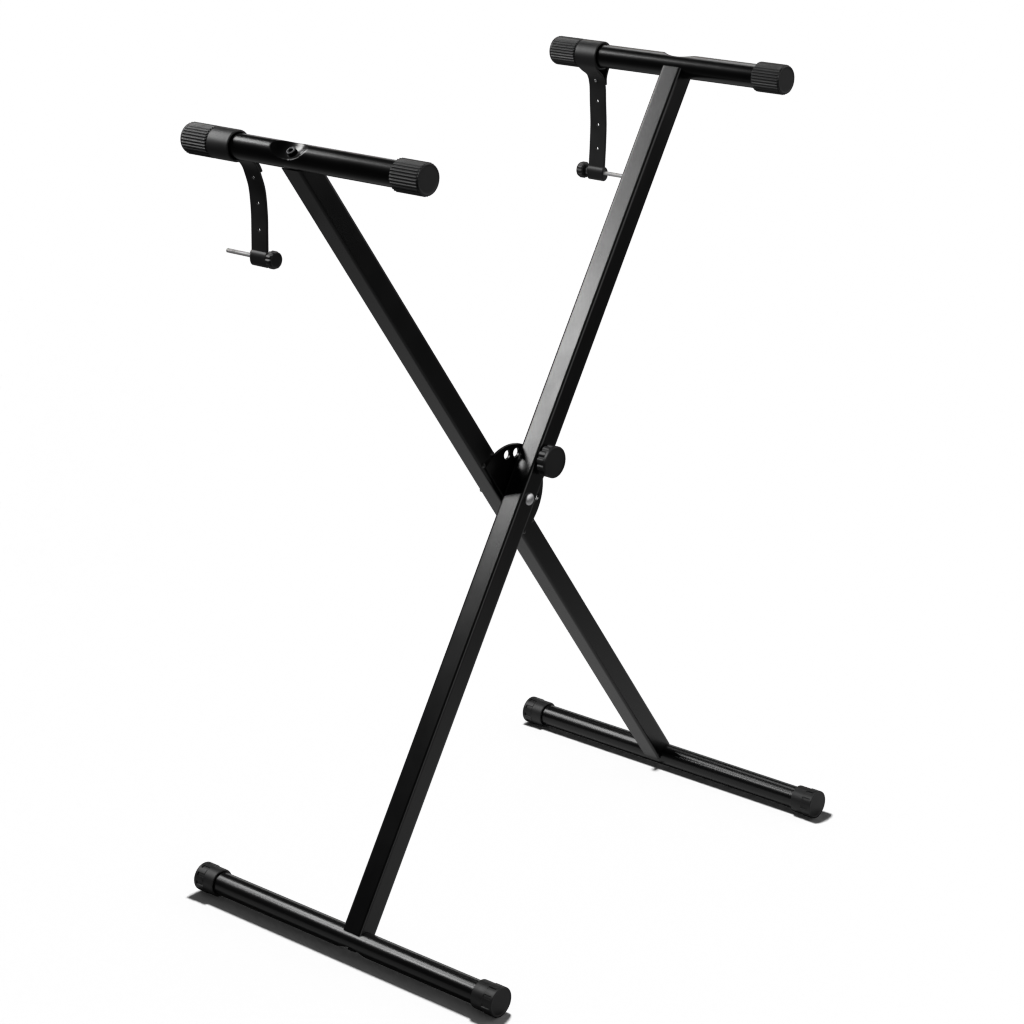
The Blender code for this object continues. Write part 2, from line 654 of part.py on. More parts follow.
def make_spring(y0, y1):
    """A helix round the pin between its collar and the ferrule."""
    curve = bpy.data.curves.new("lock_spring", "CURVE")
    curve.dimensions = "3D"
    curve.bevel_depth = SPRING_WIRE
    curve.bevel_resolution = 0
    curve.use_fill_caps = True
    count = SPRING_TURNS * SPRING_STEPS + 1
    spline = curve.splines.new("POLY")
    spline.points.add(count - 1)
    low, high = y1 + SPRING_WIRE, y0 - SPRING_WIRE
    for i, point in enumerate(spline.points):
        angle = 2 * math.pi * i / SPRING_STEPS
        y = low + (high - low) * i / (count - 1)
        point.co = (SPRING_RADIUS * math.cos(angle), y, SPRING_RADIUS * math.sin(angle), 1.0)
    spring = mesh_object("lock_spring", welded_mesh(curve), stand)
    spring.location = (0, 0, LATCH_RADIUS)
    finish(spring, "lock_spring", front, "zinc")


# Straps: a collar round the top bar with a hanging tail, a rivet and a thumb screw
def route_frames(route):
    """Points with their unit normals, for a route given as (x, z) pairs."""
    framed = []
    for i, (x, z) in enumerate(route):
        before, after = route[max(i - 1, 0)], route[min(i + 1, len(route) - 1)]
        dx, dz = after[0] - before[0], after[1] - before[1]
        size = math.hypot(dx, dz)
        framed.append((x, z, dz / size, -dx / size))
    return framed


def smooth_route(points, steps=2):
    """Catmull-Rom curve through the route's points."""
    ends = [points[0]] + list(points) + [points[-1]]
    made = []
    for p0, p1, p2, p3 in zip(ends, ends[1:], ends[2:], ends[3:]):
        for k in range(steps):
            t = k / steps
            made.append(tuple(
                (2 * b + (c - a) * t + (2 * a - 5 * b + 4 * c - d) * t * t
                 + (3 * b - a - 3 * c + d) * t ** 3) / 2
                for a, b, c, d in zip(p0, p1, p2, p3)))
    made.append(points[-1])
    return made


def ribbon(name, route, start_width, end_width):
    """A flat band along the route, easing from one width to the other over its first part."""
    rings = []
    travelled = 0.0
    previous = route[0]
    t = STRAP_THICKNESS / 2
    for x, z, nx, nz in route_frames(route):
        travelled += math.hypot(x - previous[0], z - previous[1])
        previous = (x, z)
        part = min(travelled / STRAP_TAPER, 1.0)
        ease = part * part * (3 - 2 * part)
        half = (start_width + (end_width - start_width) * ease) / 2
        rings.append([(x + nx * t, -half, z + nz * t), (x + nx * t, half, z + nz * t),
                      (x - nx * t, half, z - nz * t), (x - nx * t, -half, z - nz * t)])
    return loft(name, rings, cutters)


def strap(side, frame, z, upright, shape, knob_side):
    """Collar, tail and tab are one moulding; the frame empty lies on the bar's axis."""
    holder = empty(f"strap_{side}_frame", (0, STRAP_Y, z), upright, frame)
    inner = BAR_RADIUS + 2 * GAP
    half = STRAP_COLLAR_WIDTH / 2
    name = f"strap_{side}"
    collar = cylinder(name, inner + STRAP_THICKNESS, -half, half, stand, sides=28)
    tail = ribbon(name + "_tail", smooth_route(shape["tail"]), STRAP_COLLAR_WIDTH, STRAP_WIDTH)
    tab = ribbon(name + "_tab", smooth_route(shape["tab"]), STRAP_COLLAR_WIDTH, STRAP_WIDTH)
    end_x, end_z = shape["tail"][-1]
    lug = cylinder(name + "_lug", STRAP_LUG_RADIUS, -STRAP_WIDTH / 2, STRAP_WIDTH / 2, cutters,
                   sides=16, centre=(end_x, 0, end_z))
    bore = cylinder(name + "_bore", inner, -STRAP_COLLAR_WIDTH, STRAP_COLLAR_WIDTH, cutters, sides=28)
    rod_hole = cylinder(name + "_rod_hole", THUMB_ROD + GAP, -STRAP_COLLAR_WIDTH, STRAP_COLLAR_WIDTH,
                        cutters, sides=12, centre=(end_x, 0, end_z))
    for guide in (tail, tab, lug):
        guide.parent = holder
        boolean(collar, guide, "UNION")
    for guide in (bore, rod_hole):
        guide.parent = holder
        boolean(collar, guide)
    for k in range(STRAP_HOLES):
        hole_z = shape["first_hole"] - k * STRAP_HOLE_PITCH
        hole = cylinder(f"{name}_hole_{k}", STRAP_HOLE, 0, 2 * STRAP_WIDTH, cutters, axis="X", sides=10,
                        centre=(0, 0, hole_z))
        hole.parent = holder
        boolean(collar, hole)
    finish(collar, name, holder, "black_rubber")
    strap_rivet(side, holder, collar, shape["rivet"], math.radians(shape["rivet_tilt"]))
    thumb_screw(side, holder, end_x, end_z, knob_side)


def strap_rivet(side, holder, body, place, tilt):
    """Rivet square to tail and tab, through both, with a shallow dome at each end."""
    name = f"strap_{side}_rivet"
    axis = empty(name + "_frame", (place[0], 0, place[1]), -tilt, holder)
    hole = cylinder(name + "_hole", STRAP_RIVET + GAP, -STRAP_RIVET_GRIP, STRAP_RIVET_GRIP, cutters,
                    axis="X", sides=10)
    hole.parent = axis
    boolean(body, hole)
    half = STRAP_RIVET_GRIP / 2
    slope = 0.7
    dome = STRAP_RIVET_DOME
    profile = [(0, half + dome), (STRAP_RIVET_HEAD * slope, half + dome * slope), (STRAP_RIVET_HEAD, half),
               (STRAP_RIVET, half), (STRAP_RIVET, -half), (STRAP_RIVET_HEAD, -half),
               (STRAP_RIVET_HEAD * slope, -half - dome * slope), (0, -half - dome)]
    obj = turned(name, profile, stand, steps=10)
    obj.rotation_euler = (0, -math.pi / 2, 0)
    finish(obj, name, axis, "zinc")


def thumb_screw(side, holder, x, z, knob_side):
    """Rod through the strap's lug with a fluted knob at one end and a nut against the lug."""
    turn = empty(f"strap_{side}_screw_frame", (x, 0, z), 0.0, holder)
    name = f"strap_{side}"
    nut_start = STRAP_WIDTH / 2 + GAP
    knob_start = nut_start + THUMB_NUT_HEIGHT + GAP
    inner_end = knob_start + THUMB_KNOB_DEPTH - THUMB_KNOB_FLOOR
    free_end = STRAP_WIDTH / 2 + THUMB_REACH
    low, high = sorted((-knob_side * free_end, knob_side * inner_end))
    rod = cylinder(name + "_rod", THUMB_ROD, low, high, stand, sides=14)
    edge = KNOB_EDGE
    rings = [(THUMB_KNOB_RADIUS - 2 * edge, 0, knob_start), (THUMB_KNOB_RADIUS, 1, knob_start + edge),
             (THUMB_KNOB_RADIUS, 1, knob_start + THUMB_KNOB_DEPTH - edge),
             (THUMB_KNOB_RADIUS - 2 * edge, 0, knob_start + THUMB_KNOB_DEPTH)]
    knob = fluted_knob(name + "_knob", rings, THUMB_KNOB_LOBES, THUMB_KNOB_FLUTE, knob_side)
    low, high = sorted((knob_side * nut_start, knob_side * (inner_end + GAP)))
    bore = cylinder(name + "_knob_bore", THUMB_ROD + GAP, low, high, cutters, sides=12)
    boolean(knob, bore)
    nut = hex_nut(name + "_nut", THUMB_NUT_ACROSS, THUMB_NUT_HEIGHT, THUMB_ROD + GAP)
    for obj in (rod, knob, bore):
        obj.parent = turn
    nut.parent = turn
    nut.rotation_euler = (-knob_side * math.pi / 2, 0, 0)
    nut.location = (0, knob_side * nut_start, 0)
    finish(rod, name + "_rod", turn, "zinc")
    finish(knob, name + "_knob", turn, "black_plastic")
    finish(nut, name + "_nut", turn, "zinc", smooth=False)


# Each strap's side view from the bar's axis: x to the right, z up, in metres
LEFT_STRAP = {
    "tail": [(0.0142, 0.001), (0.0160, -0.006), (0.0205, -0.0125), (0.0262, -0.0195), (0.0312, -0.0320),
             (0.0350, -0.0510), (0.0362, -0.0740), (0.0352, -0.0960), (0.0338, -0.1190)],
    "tab": [(0.0020, -0.0142), (0.0095, -0.0155), (0.0165, -0.0180), (0.0222, -0.0222), (0.0262, -0.0290)],
    "rivet": (0.0262, -0.0245), "rivet_tilt": 25, "first_hole": -0.038}
RIGHT_STRAP = {
    "tail": [(-0.0142, -0.001), (-0.0120, -0.0095), (-0.0055, -0.0165), (0.0030, -0.0235), (0.0068, -0.0350),
             (0.0073, -0.0540), (0.0078, -0.0790), (0.0062, -0.1040), (0.0034, -0.1330)],
    "tab": [(0.0142, -0.001), (0.0135, -0.0100), (0.0110, -0.0180), (0.0092, -0.0265), (0.0092, -0.0340)],
    "rivet": (0.0072, -0.0290), "rivet_tilt": 9, "first_hole": -0.053}

make_legs()
make_frame_side(front, -LEG_Y, -HALF_ANGLE, "right", "left")
make_frame_side(rear, LEG_Y, HALF_ANGLE, "left", "right")
latch_plate()
make_pivot()
make_lock()
strap("left", rear, UPPER_ARM, HALF_ANGLE, LEFT_STRAP, -1)
strap("right", front, UPPER_ARM, -HALF_ANGLE, RIGHT_STRAP, 1)
bpy.context.view_layer.update()
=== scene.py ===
"""Folding keyboard stand: its looks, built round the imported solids.

Frame in metres: X across the stand, Y along the crossbars, Z up, with the floor at Z = 0.
"""

import json
import math

import bpy
import numpy as np
from mathutils import Matrix, Vector


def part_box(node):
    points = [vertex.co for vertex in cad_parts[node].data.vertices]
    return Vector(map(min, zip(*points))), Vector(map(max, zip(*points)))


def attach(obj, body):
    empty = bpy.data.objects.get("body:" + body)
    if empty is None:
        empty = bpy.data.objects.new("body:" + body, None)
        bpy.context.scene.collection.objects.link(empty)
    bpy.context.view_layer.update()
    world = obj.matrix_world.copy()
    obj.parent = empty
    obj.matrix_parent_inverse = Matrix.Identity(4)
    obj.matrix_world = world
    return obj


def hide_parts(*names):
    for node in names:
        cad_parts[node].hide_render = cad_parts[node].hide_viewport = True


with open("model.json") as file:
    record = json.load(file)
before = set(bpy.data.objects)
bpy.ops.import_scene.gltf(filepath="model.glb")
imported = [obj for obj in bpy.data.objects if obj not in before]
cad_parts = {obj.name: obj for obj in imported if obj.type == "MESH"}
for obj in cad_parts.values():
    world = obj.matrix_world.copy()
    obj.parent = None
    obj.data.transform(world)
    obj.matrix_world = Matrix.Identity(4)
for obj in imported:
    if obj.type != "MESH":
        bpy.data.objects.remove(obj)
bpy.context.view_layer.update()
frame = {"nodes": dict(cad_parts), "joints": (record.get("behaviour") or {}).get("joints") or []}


# Legs
# Two lengths of square steel tube, powder coated in satin black. Each end is coped to lie round its
# crossbar. Both are drilled for the pivot bolt, and the front one also for the lock.
TUBE_WALL = 0.0015
TUBE_CORNER = 0.003
CORNER_STEPS = 8
FLAT_STEPS = 18
COPE_WRAP = 0.006               # how far the coped end reaches round the bar
FIT = 0.0003                    # clearance between pieces that touch
PIVOT_HOLE = 0.0043
PIN_HOLE = 0.0038
FERRULE_HOLE = 0.0061
DRILL_STEPS = 48
CREASE = math.radians(32)       # sharper edges than this stay sharp
PAINT_COLOUR = (0.0045, 0.0045, 0.0048)
PAINT_ROUGHNESS = 0.25
CLOUDS = (0.8, 1.2)             # lowest and highest share of a finish's colour and roughness
GRAIN_DETAIL = 2.0
CLOUD_DETAIL = 3.0
ALONG_BARS = np.array((0.0, 1.0, 0.0))
DOWN = np.array((0.0, 0.0, -1.0))
LEGS = (("front", "right", "left"), ("rear", "left", "right"))     # a leg, its top bar, its foot bar


def box_of(node):
    """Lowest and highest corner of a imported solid."""
    return [np.array(corner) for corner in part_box(node)]


def middle_of(node):
    low, high = box_of(node)
    return (low + high) / 2


def joint_place(name):
    """A point on a joint's axis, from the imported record."""
    return np.array(next(joint["pos_m"] for joint in frame["joints"] if joint["name"] == name))


def unit(vector):
    return vector / np.linalg.norm(vector)


def finish(name, colour, roughness, metallic=0.0, grain=700.0, depth=0.00002, cloud=30.0):
    """A surface finish of fine grain and slow clouds.

    Height is noise at the grain's scale times the depth. Colour and roughness rise and fall by a
    fifth with noise at the cloud's scale.
    """
    made = bpy.data.materials.new(name)
    made.use_nodes = True
    nodes, links = made.node_tree.nodes, made.node_tree.links
    shader = nodes["Principled BSDF"]
    shader.inputs["Metallic"].default_value = metallic
    place = nodes.new("ShaderNodeTexCoord")
    fine = nodes.new("ShaderNodeTexNoise")
    slow = nodes.new("ShaderNodeTexNoise")
    for noise, scale, detail in ((fine, grain, GRAIN_DETAIL), (slow, cloud, CLOUD_DETAIL)):
        noise.inputs["Scale"].default_value = scale
        noise.inputs["Detail"].default_value = detail
        links.new(place.outputs["Object"], noise.inputs["Vector"])
    shade = nodes.new("ShaderNodeValToRGB")
    for stop, level in zip(shade.color_ramp.elements, CLOUDS):
        stop.color = (*(level * part for part in colour), 1.0)
    links.new(slow.outputs["Fac"], shade.inputs["Fac"])
    links.new(shade.outputs["Color"], shader.inputs["Base Color"])
    polish = nodes.new("ShaderNodeMapRange")
    polish.inputs["To Min"].default_value = CLOUDS[0] * roughness
    polish.inputs["To Max"].default_value = CLOUDS[1] * roughness
    links.new(slow.outputs["Fac"], polish.inputs["Value"])
    links.new(polish.outputs["Result"], shader.inputs["Roughness"])
    height = nodes.new("ShaderNodeBump")
    height.inputs["Strength"].default_value = 1.0
    height.inputs["Distance"].default_value = depth
    links.new(fine.outputs["Fac"], height.inputs["Height"])
    links.new(height.outputs["Normal"], shader.inputs["Normal"])
    return made


def closed_skin(rows, ring=False):
    """Points and faces of a closed surface through rows of points, facing outwards.

    Point j of row i meets point j + 1 and row i + 1, round and round. With ring the last row meets
    the first, as on a tube's wall; otherwise each end row is closed by a fan to its middle. The
    volume under the faces, the sum of a . (b x c) over them, tells which way they point.
    """
    count, around = rows.shape[:2]
    i = np.arange(count if ring else count - 1)[:, None]
    j = np.arange(around)[None, :]
    next_i, next_j = (i + 1) % count, (j + 1) % around
    row, next_row = i * around, next_i * around
    quads = np.stack([row + j, next_row + j, next_row + next_j, row + next_j], -1).reshape(-1, 4)
    points = rows.reshape(-1, 3)
    fans = np.empty((0, 3), int)
    if not ring:
        edge, after = np.arange(around), (np.arange(around) + 1) % around
        last = (count - 1) * around
        first_fan = np.stack([np.full(around, len(points)), edge, after], -1)
        last_fan = np.stack([np.full(around, len(points) + 1), last + after, last + edge], -1)
        fans = np.vstack([first_fan, last_fan])
        points = np.vstack([points, rows[0].mean(0), rows[-1].mean(0)])
    corners = points - points.mean(0)
    halves = np.vstack([quads[:, [0, 1, 2]], quads[:, [0, 2, 3]], fans])
    a, b, c = (corners[halves[:, k]] for k in range(3))
    if (a * np.cross(b, c)).sum() < 0:
        quads, fans = quads[:, ::-1], fans[:, ::-1]
    return points, quads.tolist() + fans.tolist()


def new_piece(name, rows, ring=False):
    mesh = bpy.data.meshes.new(name)
    points, faces = closed_skin(rows, ring)
    mesh.from_pydata(points.tolist(), [], faces)
    piece = bpy.data.objects.new(name, mesh)
    bpy.context.scene.collection.objects.link(piece)
    return piece


def dress(piece, body, slot, surface, *solids):
    """Shades a piece, gives it its finish and fixes it to its body in place of the plain solids."""
    piece.data.shade_smooth()
    piece.data.set_sharp_from_angle(angle=CREASE)
    piece.data.materials.clear()
    piece.data.materials.append(surface)
    flats = piece.modifiers.new("Flats shaded flat", "WEIGHTED_NORMAL")
    flats.keep_sharp = True
    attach(piece, body)
    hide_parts(*solids)


def at(place, y):
    """A place in the side view, moved to y along the bars."""
    return np.array((place[0], y, place[2]))


def full_turn(steps):
    return np.linspace(0, 2 * math.pi, steps, endpoint=False)


def spun(radius, height, centre, axis):
    """Rows of points round an axis: row i lies at height i along it, with that row's radii.

    Point j stands at angle j of a full turn, counted from straight down for an axis along the bars
    and from along the bars for any other.
    """
    angle = full_turn(radius.shape[1])
    side = DOWN if abs(axis @ ALONG_BARS) > 0.5 else ALONG_BARS
    other = np.cross(axis, side)
    spoke = np.cos(angle)[:, None] * side + np.sin(angle)[:, None] * other
    return centre + radius[..., None] * spoke + height[:, None, None] * axis


def rod(name, centre, axis, radius, start, end):
    """A plain round bar, used as a drill."""
    return new_piece(name, spun(np.full((2, DRILL_STEPS), radius), np.array((start, end)), centre, axis))


def shape_with(piece, operation, *tools):
    """Cuts a piece by the tools, or joins them to it, and removes the tools."""
    for tool in tools:
        change = piece.modifiers.new("Change", "BOOLEAN")
        change.operation = operation
        change.solver = "MANIFOLD"
        change.object = tool
    shaped = bpy.data.meshes.new_from_object(piece.evaluated_get(bpy.context.evaluated_depsgraph_get()))
    piece.modifiers.clear()
    piece.data = shaped
    for tool in tools:
        bpy.data.objects.remove(tool, do_unlink=True)


def square_outline(side, corner):
    """A rounded square round the middle: a quarter circle and a straight run, turned four times."""
    reach = side / 2 - corner
    bend = np.linspace(0, math.pi / 2, CORNER_STEPS + 1)
    arc = reach + corner * np.stack([np.cos(bend), np.sin(bend)], -1)
    run = np.linspace(1, -1, FLAT_STEPS + 2)[1:-1]
    straight = np.stack([reach * run, np.full(FLAT_STEPS, side / 2)], -1)
    quarter = np.vstack([arc, straight])
    quarters = []
    for turn in range(4):
        quarters.append(quarter)
        quarter = np.stack([-quarter[:, 1], quarter[:, 0]], -1)
    return np.vstack(quarters)


pivot = joint_place("fold")
foot_axis = {side: middle_of("foot_bar_" + side) for side in ("left", "right")}
top_axis = {side: middle_of("top_bar_" + side) for side in ("left", "right")}
bar_radius = (box_of("top_bar_left")[1][0] - box_of("top_bar_left")[0][0]) / 2
leg_up = {"front": unit(top_axis["right"] - pivot), "rear": unit(top_axis["left"] - pivot)}
leg_side = box_of("leg_front")[1][1] - box_of("leg_front")[0][1]


def in_leg(points, leg):
    """From a leg's own frame (across it, along the bars, up from the pivot) to the stand's frame."""
    up = leg_up[leg]
    across = np.array((up[2], 0.0, -up[0]))
    return pivot + points @ np.stack([across, ALONG_BARS, up])


def coped_end(across, arm):
    """Where the leg's wall ends: at the circle round the bar, or at the wrap where that is nearer."""
    circle = np.sqrt(np.clip((bar_radius + FIT) ** 2 - across ** 2, 0, None))
    return arm - np.maximum(circle, bar_radius - COPE_WRAP)


def leg_rows(leg, middle_y, top_arm, foot_arm):
    """Outer wall from foot to top, then inner wall back down, each a rounded square."""
    outer = square_outline(leg_side, TUBE_CORNER)
    inner = square_outline(leg_side - 2 * TUBE_WALL, TUBE_CORNER - TUBE_WALL)
    rows = []
    for outline, arm, way in ((outer, foot_arm, -1), (outer, top_arm, 1), (inner, top_arm, 1),
                              (inner, foot_arm, -1)):
        up = way * coped_end(outline[:, 0], arm)
        rows.append(np.stack([outline[:, 0], middle_y + outline[:, 1], up], -1))
    return in_leg(np.stack(rows), leg)


paint = finish("satin_black_powder_coat", PAINT_COLOUR, PAINT_ROUGHNESS)
lock_place = middle_of("lock_knob")

for leg, top, foot in LEGS:
    y = middle_of("leg_" + leg)[1]
    top_arm = np.linalg.norm((top_axis[top] - pivot)[[0, 2]])
    foot_arm = np.linalg.norm((foot_axis[foot] - pivot)[[0, 2]])
    piece = new_piece(leg + "_leg_tube", leg_rows(leg, y, top_arm, foot_arm), ring=True)
    drills = [rod("pivot_drill", pivot + y * ALONG_BARS, ALONG_BARS, PIVOT_HOLE, -leg_side, leg_side)]
    if leg == "front":
        place = at(lock_place, y)
        drills.append(rod("pin_drill", place, ALONG_BARS, PIN_HOLE, 0.0, leg_side))
        drills.append(rod("ferrule_drill", place, ALONG_BARS, FERRULE_HOLE, -leg_side, 0.0))
    shape_with(piece, "DIFFERENCE", *drills)
    dress(piece, leg + "_frame", "black_paint", paint, "leg_" + leg)


# Crossbars
# Four lengths of round steel tube in the same coat. Over its leg each is pressed into an oval dish
# that seats the fixing screw, so the tube's wall dips smoothly and its rim is rounded.
BAR_WALL = 0.0015
DISH_FLOOR = {"top": 0.0045, "foot": 0.0080}     # lowest point above the bar's axis
DISH_RISE = 0.012               # centre of the pressing tool above the bar's top line
DISH_BREADTH = 0.026
DISH_REACH = 0.0275
DISH_RIM = 0.0007               # softness of the rim
DISH_SPAN = 1.12                # the rows of points reach this many times as far as the dish
DISH_ROWS = 84
BAR_STEPS = 160
SCREW_HOLE = 0.0033


def dished_radius(angle, along, floor):
    """Distance from the axis to the bar's skin.

    It is the smaller of the tube's radius and the way to the pressing tool, an ellipsoid above the
    axis, blended as -s log(exp(-a / s) + exp(-b / s)) so that the rim is round. The way to the tool
    is the first root of its quadratic along the ray at the angle.
    """
    centre = bar_radius + DISH_RISE
    drop = centre - floor
    square = (np.sin(angle) / DISH_BREADTH) ** 2 + (np.cos(angle) / drop) ** 2
    half = centre * np.cos(angle) / drop ** 2
    rest = (centre / drop) ** 2 + (along / DISH_REACH) ** 2 - 1
    inside = half ** 2 - square * rest
    way = np.where((inside > 0) & (half > 0), (half - np.sqrt(np.abs(inside))) / square, math.inf)
    way = np.minimum(way, 2 * bar_radius)
    return -DISH_RIM * np.log(np.exp(-bar_radius / DISH_RIM) + np.exp(-way / DISH_RIM))


def crossbar(place, side, axis_place, out, leg_y, body):
    """The skin runs out along the bar and its inner wall comes back."""
    node = f"{place}_bar_{side}"
    low, high = box_of(node)
    dish = np.linspace(-DISH_SPAN, DISH_SPAN, DISH_ROWS) * DISH_REACH + leg_y
    y = np.concatenate([[low[1]], dish, [high[1]]])
    angle = full_turn(BAR_STEPS)
    radius = dished_radius(angle[None, :], (y - leg_y)[:, None], DISH_FLOOR[place])
    radius = np.vstack([radius, radius[::-1] - BAR_WALL])
    y = np.concatenate([y, y[::-1]])
    spoke = np.cos(angle)[:, None] * out + np.sin(angle)[:, None] * np.cross(ALONG_BARS, out)
    rows = at(axis_place, 0.0) + radius[..., None] * spoke + y[:, None, None] * ALONG_BARS
    piece = new_piece(f"{side}_{place}_tube", rows, ring=True)
    reach = 2 * bar_radius
    drill = rod("screw_drill", at(axis_place, leg_y), out, SCREW_HOLE, -reach, reach)
    shape_with(piece, "DIFFERENCE", drill)
    dress(piece, body, "black_paint", paint, node)


bars = []
for leg, top, foot in LEGS:
    y = middle_of("leg_" + leg)[1]
    bars.append(("top", top, top_axis[top], leg_up[leg], y, leg + "_frame"))
    bars.append(("foot", foot, foot_axis[foot], -leg_up[leg], y, leg + "_frame"))
for bar in bars:
    crossbar(*bar)


# Bar screws
# Blackened socket head screws, one through each bar into its leg, with a knurled head and a
# hexagon socket. Each head sits on the dish's floor.
SCREW_LENGTH = 0.043            # from under the head to past the nut in the leg
SCREW_HEAD_HEIGHT = 0.0028
SCREW_HEAD_RADIUS = 0.0048
SCREW_SHANK = 0.003
SCREW_EDGE = 0.0006
SOCKET_CORNER = 0.0026
SOCKET_MOUTH = 0.0029
SOCKET_DEPTH = 0.0018
SOCKET_POINT = 0.0008
KNURLS = 24
KNURL_DEPTH = 0.00018
KNURL_FROM = 0.999              # share of the head's radius beyond which it is knurled
SCREW_STEPS = 144
EDGE_STEPS = 4
SET_BACK = 0.45                 # share of a profile's side that a rounded corner may take


def softened(profile, radius):
    """Rounds the corners of a profile: each becomes a Bezier arc between points set back from it.

    The set back is the radius, or under half the way to the neighbour where that is less.
    """
    profile = np.array(profile, float)
    before, corner, after = profile[:-2], profile[1:-1], profile[2:]
    back = before - corner
    forth = after - corner
    back_way = np.linalg.norm(back[:, :2], axis=1)[:, None]
    forth_way = np.linalg.norm(forth[:, :2], axis=1)[:, None]
    start = corner + back * np.minimum(radius / back_way, SET_BACK)
    end = corner + forth * np.minimum(radius / forth_way, SET_BACK)
    t = np.linspace(0, 1, EDGE_STEPS + 1)[None, :, None]
    arcs = (1 - t) ** 2 * start[:, None] + 2 * t * (1 - t) * corner[:, None] + t ** 2 * end[:, None]
    return np.vstack([profile[:1], arcs.reshape(-1, profile.shape[1]), profile[-1:]])


def hexagon_relief(corner, around):
    """Corner radius less the hexagon's radius, corner cos 30 / cos(angle from the flat's middle)."""
    off_flat = full_turn(around) % (math.pi / 3) - math.pi / 6
    return corner * (1 - math.cos(math.pi / 6) / np.cos(off_flat))


def add_screw(place, side, axis_place, out, leg_y, body):
    """Socket floor and wall, head and shank, turned in one go. Heights run out from the bar's axis."""
    drop = bar_radius + DISH_RISE - DISH_FLOOR[place]
    rise = drop * (1 - math.sqrt(1 - (SCREW_HEAD_RADIUS / DISH_REACH) ** 2))
    seat = DISH_FLOOR[place] + FIT + rise
    top = seat + SCREW_HEAD_HEIGHT
    floor = top - SOCKET_DEPTH
    end = seat - SCREW_LENGTH
    socket = [(SOCKET_POINT / 2, floor - SOCKET_POINT, 0), (SOCKET_CORNER, floor, 1),
              (SOCKET_CORNER, top - FIT, 1), (SOCKET_MOUTH, top, 0)]
    head = [(SOCKET_MOUTH, top, 0), (SCREW_HEAD_RADIUS, top, 0), (SCREW_HEAD_RADIUS, seat, 0),
            (SCREW_SHANK, seat, 0), (SCREW_SHANK, end, 0), (SCREW_SHANK / 2, end, 0)]
    profile = np.vstack([np.array(socket), softened(head, SCREW_EDGE)[1:]])
    radius = profile[:, :1] - profile[:, 2:3] * hexagon_relief(SOCKET_CORNER, SCREW_STEPS)
    knurled = (profile[:, 1] > seat + SCREW_EDGE) & (profile[:, 0] >= SCREW_HEAD_RADIUS * KNURL_FROM)
    radius = radius - knurled[:, None] * KNURL_DEPTH * np.cos(KNURLS * full_turn(SCREW_STEPS)) ** 2
    piece = new_piece(f"{side}_{place}_screw", spun(radius, profile[:, 1], at(axis_place, leg_y), out))
    dress(piece, body, "black_steel", black_steel, f"screw_{place}_{side}")


black_steel = finish("blackened_steel", (0.05, 0.05, 0.052), 0.42, metallic=1.0, grain=1500.0, cloud=200.0)
for bar in bars:
    add_screw(*bar)


# Leg plugs and nuts
# Moulded plastic blocks inside the leg ends, on which the bars bear, with a plated hexagon nut under
# each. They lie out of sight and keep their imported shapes.
plastic = finish("satin_black_moulding", (0.014, 0.014, 0.0145), 0.42, grain=2200.0, depth=0.000012,
                 cloud=60.0)
zinc = finish("bright_zinc_plate", (0.72, 0.72, 0.73), 0.38, metallic=1.0, grain=1800.0, depth=0.000006,
              cloud=300.0)


def keep_solid(node, surface):
    """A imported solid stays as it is, with its own finish."""
    solid = frame["nodes"][node]
    solid.data.materials.clear()
    solid.data.materials.append(surface)


for place in ("top_left", "top_right", "foot_left", "foot_right"):
    keep_solid("plug_" + place, plastic)
    keep_solid("nut_" + place, zinc)


# Grips
# Soft moulded sleeves pushed over the ends of the two top bars. Sharp ribs run along them from a
# chamfered mouth to a thin plain rim, and the end face is flat inside a raised edge.
GRIP_RADIUS = 0.01558
GRIP_RIBS = 30
GRIP_RIB_DEPTH = 0.0010
GRIP_RIB_POWER = 1.5            # over 1, so that the ribs are broader than the valleys
GRIP_CHAMFER = 0.0016
GRIP_RIM = 0.0022
CAP_FLOOR = 0.003
CAP_EDGE = 0.0007
FACE_STEP = 0.0003              # the end face lies this much below its raised edge
FACE_EDGE = 0.0016              # breadth of the raised edge
STEPS_A_RIB = 14
TURNED_STEPS = 96
soft_black = finish("soft_black_moulding", (0.016, 0.016, 0.0165), 0.47, grain=1600.0, cloud=70.0)


def turned(profile, centre, axis, relief=None, around=TURNED_STEPS):
    """Rows of a turned piece from (radius, height, share) points.

    The radius at an angle is the profile's less its share of the relief at that angle.
    """
    relief = np.zeros(around) if relief is None else relief
    radius = profile[:, :1] - profile[:, 2:3] * relief[None, :]
    return spun(radius, profile[:, 1], centre, axis)


def cap_face(radius, length):
    """The closed end of a cap: round edge, raised rim and the flat face inside it."""
    inner = radius - FACE_EDGE
    return [(radius, length, 0), (inner, length, 0), (inner - FACE_STEP, length - FACE_STEP, 0),
            (inner / 2, length - FACE_STEP, 0)]


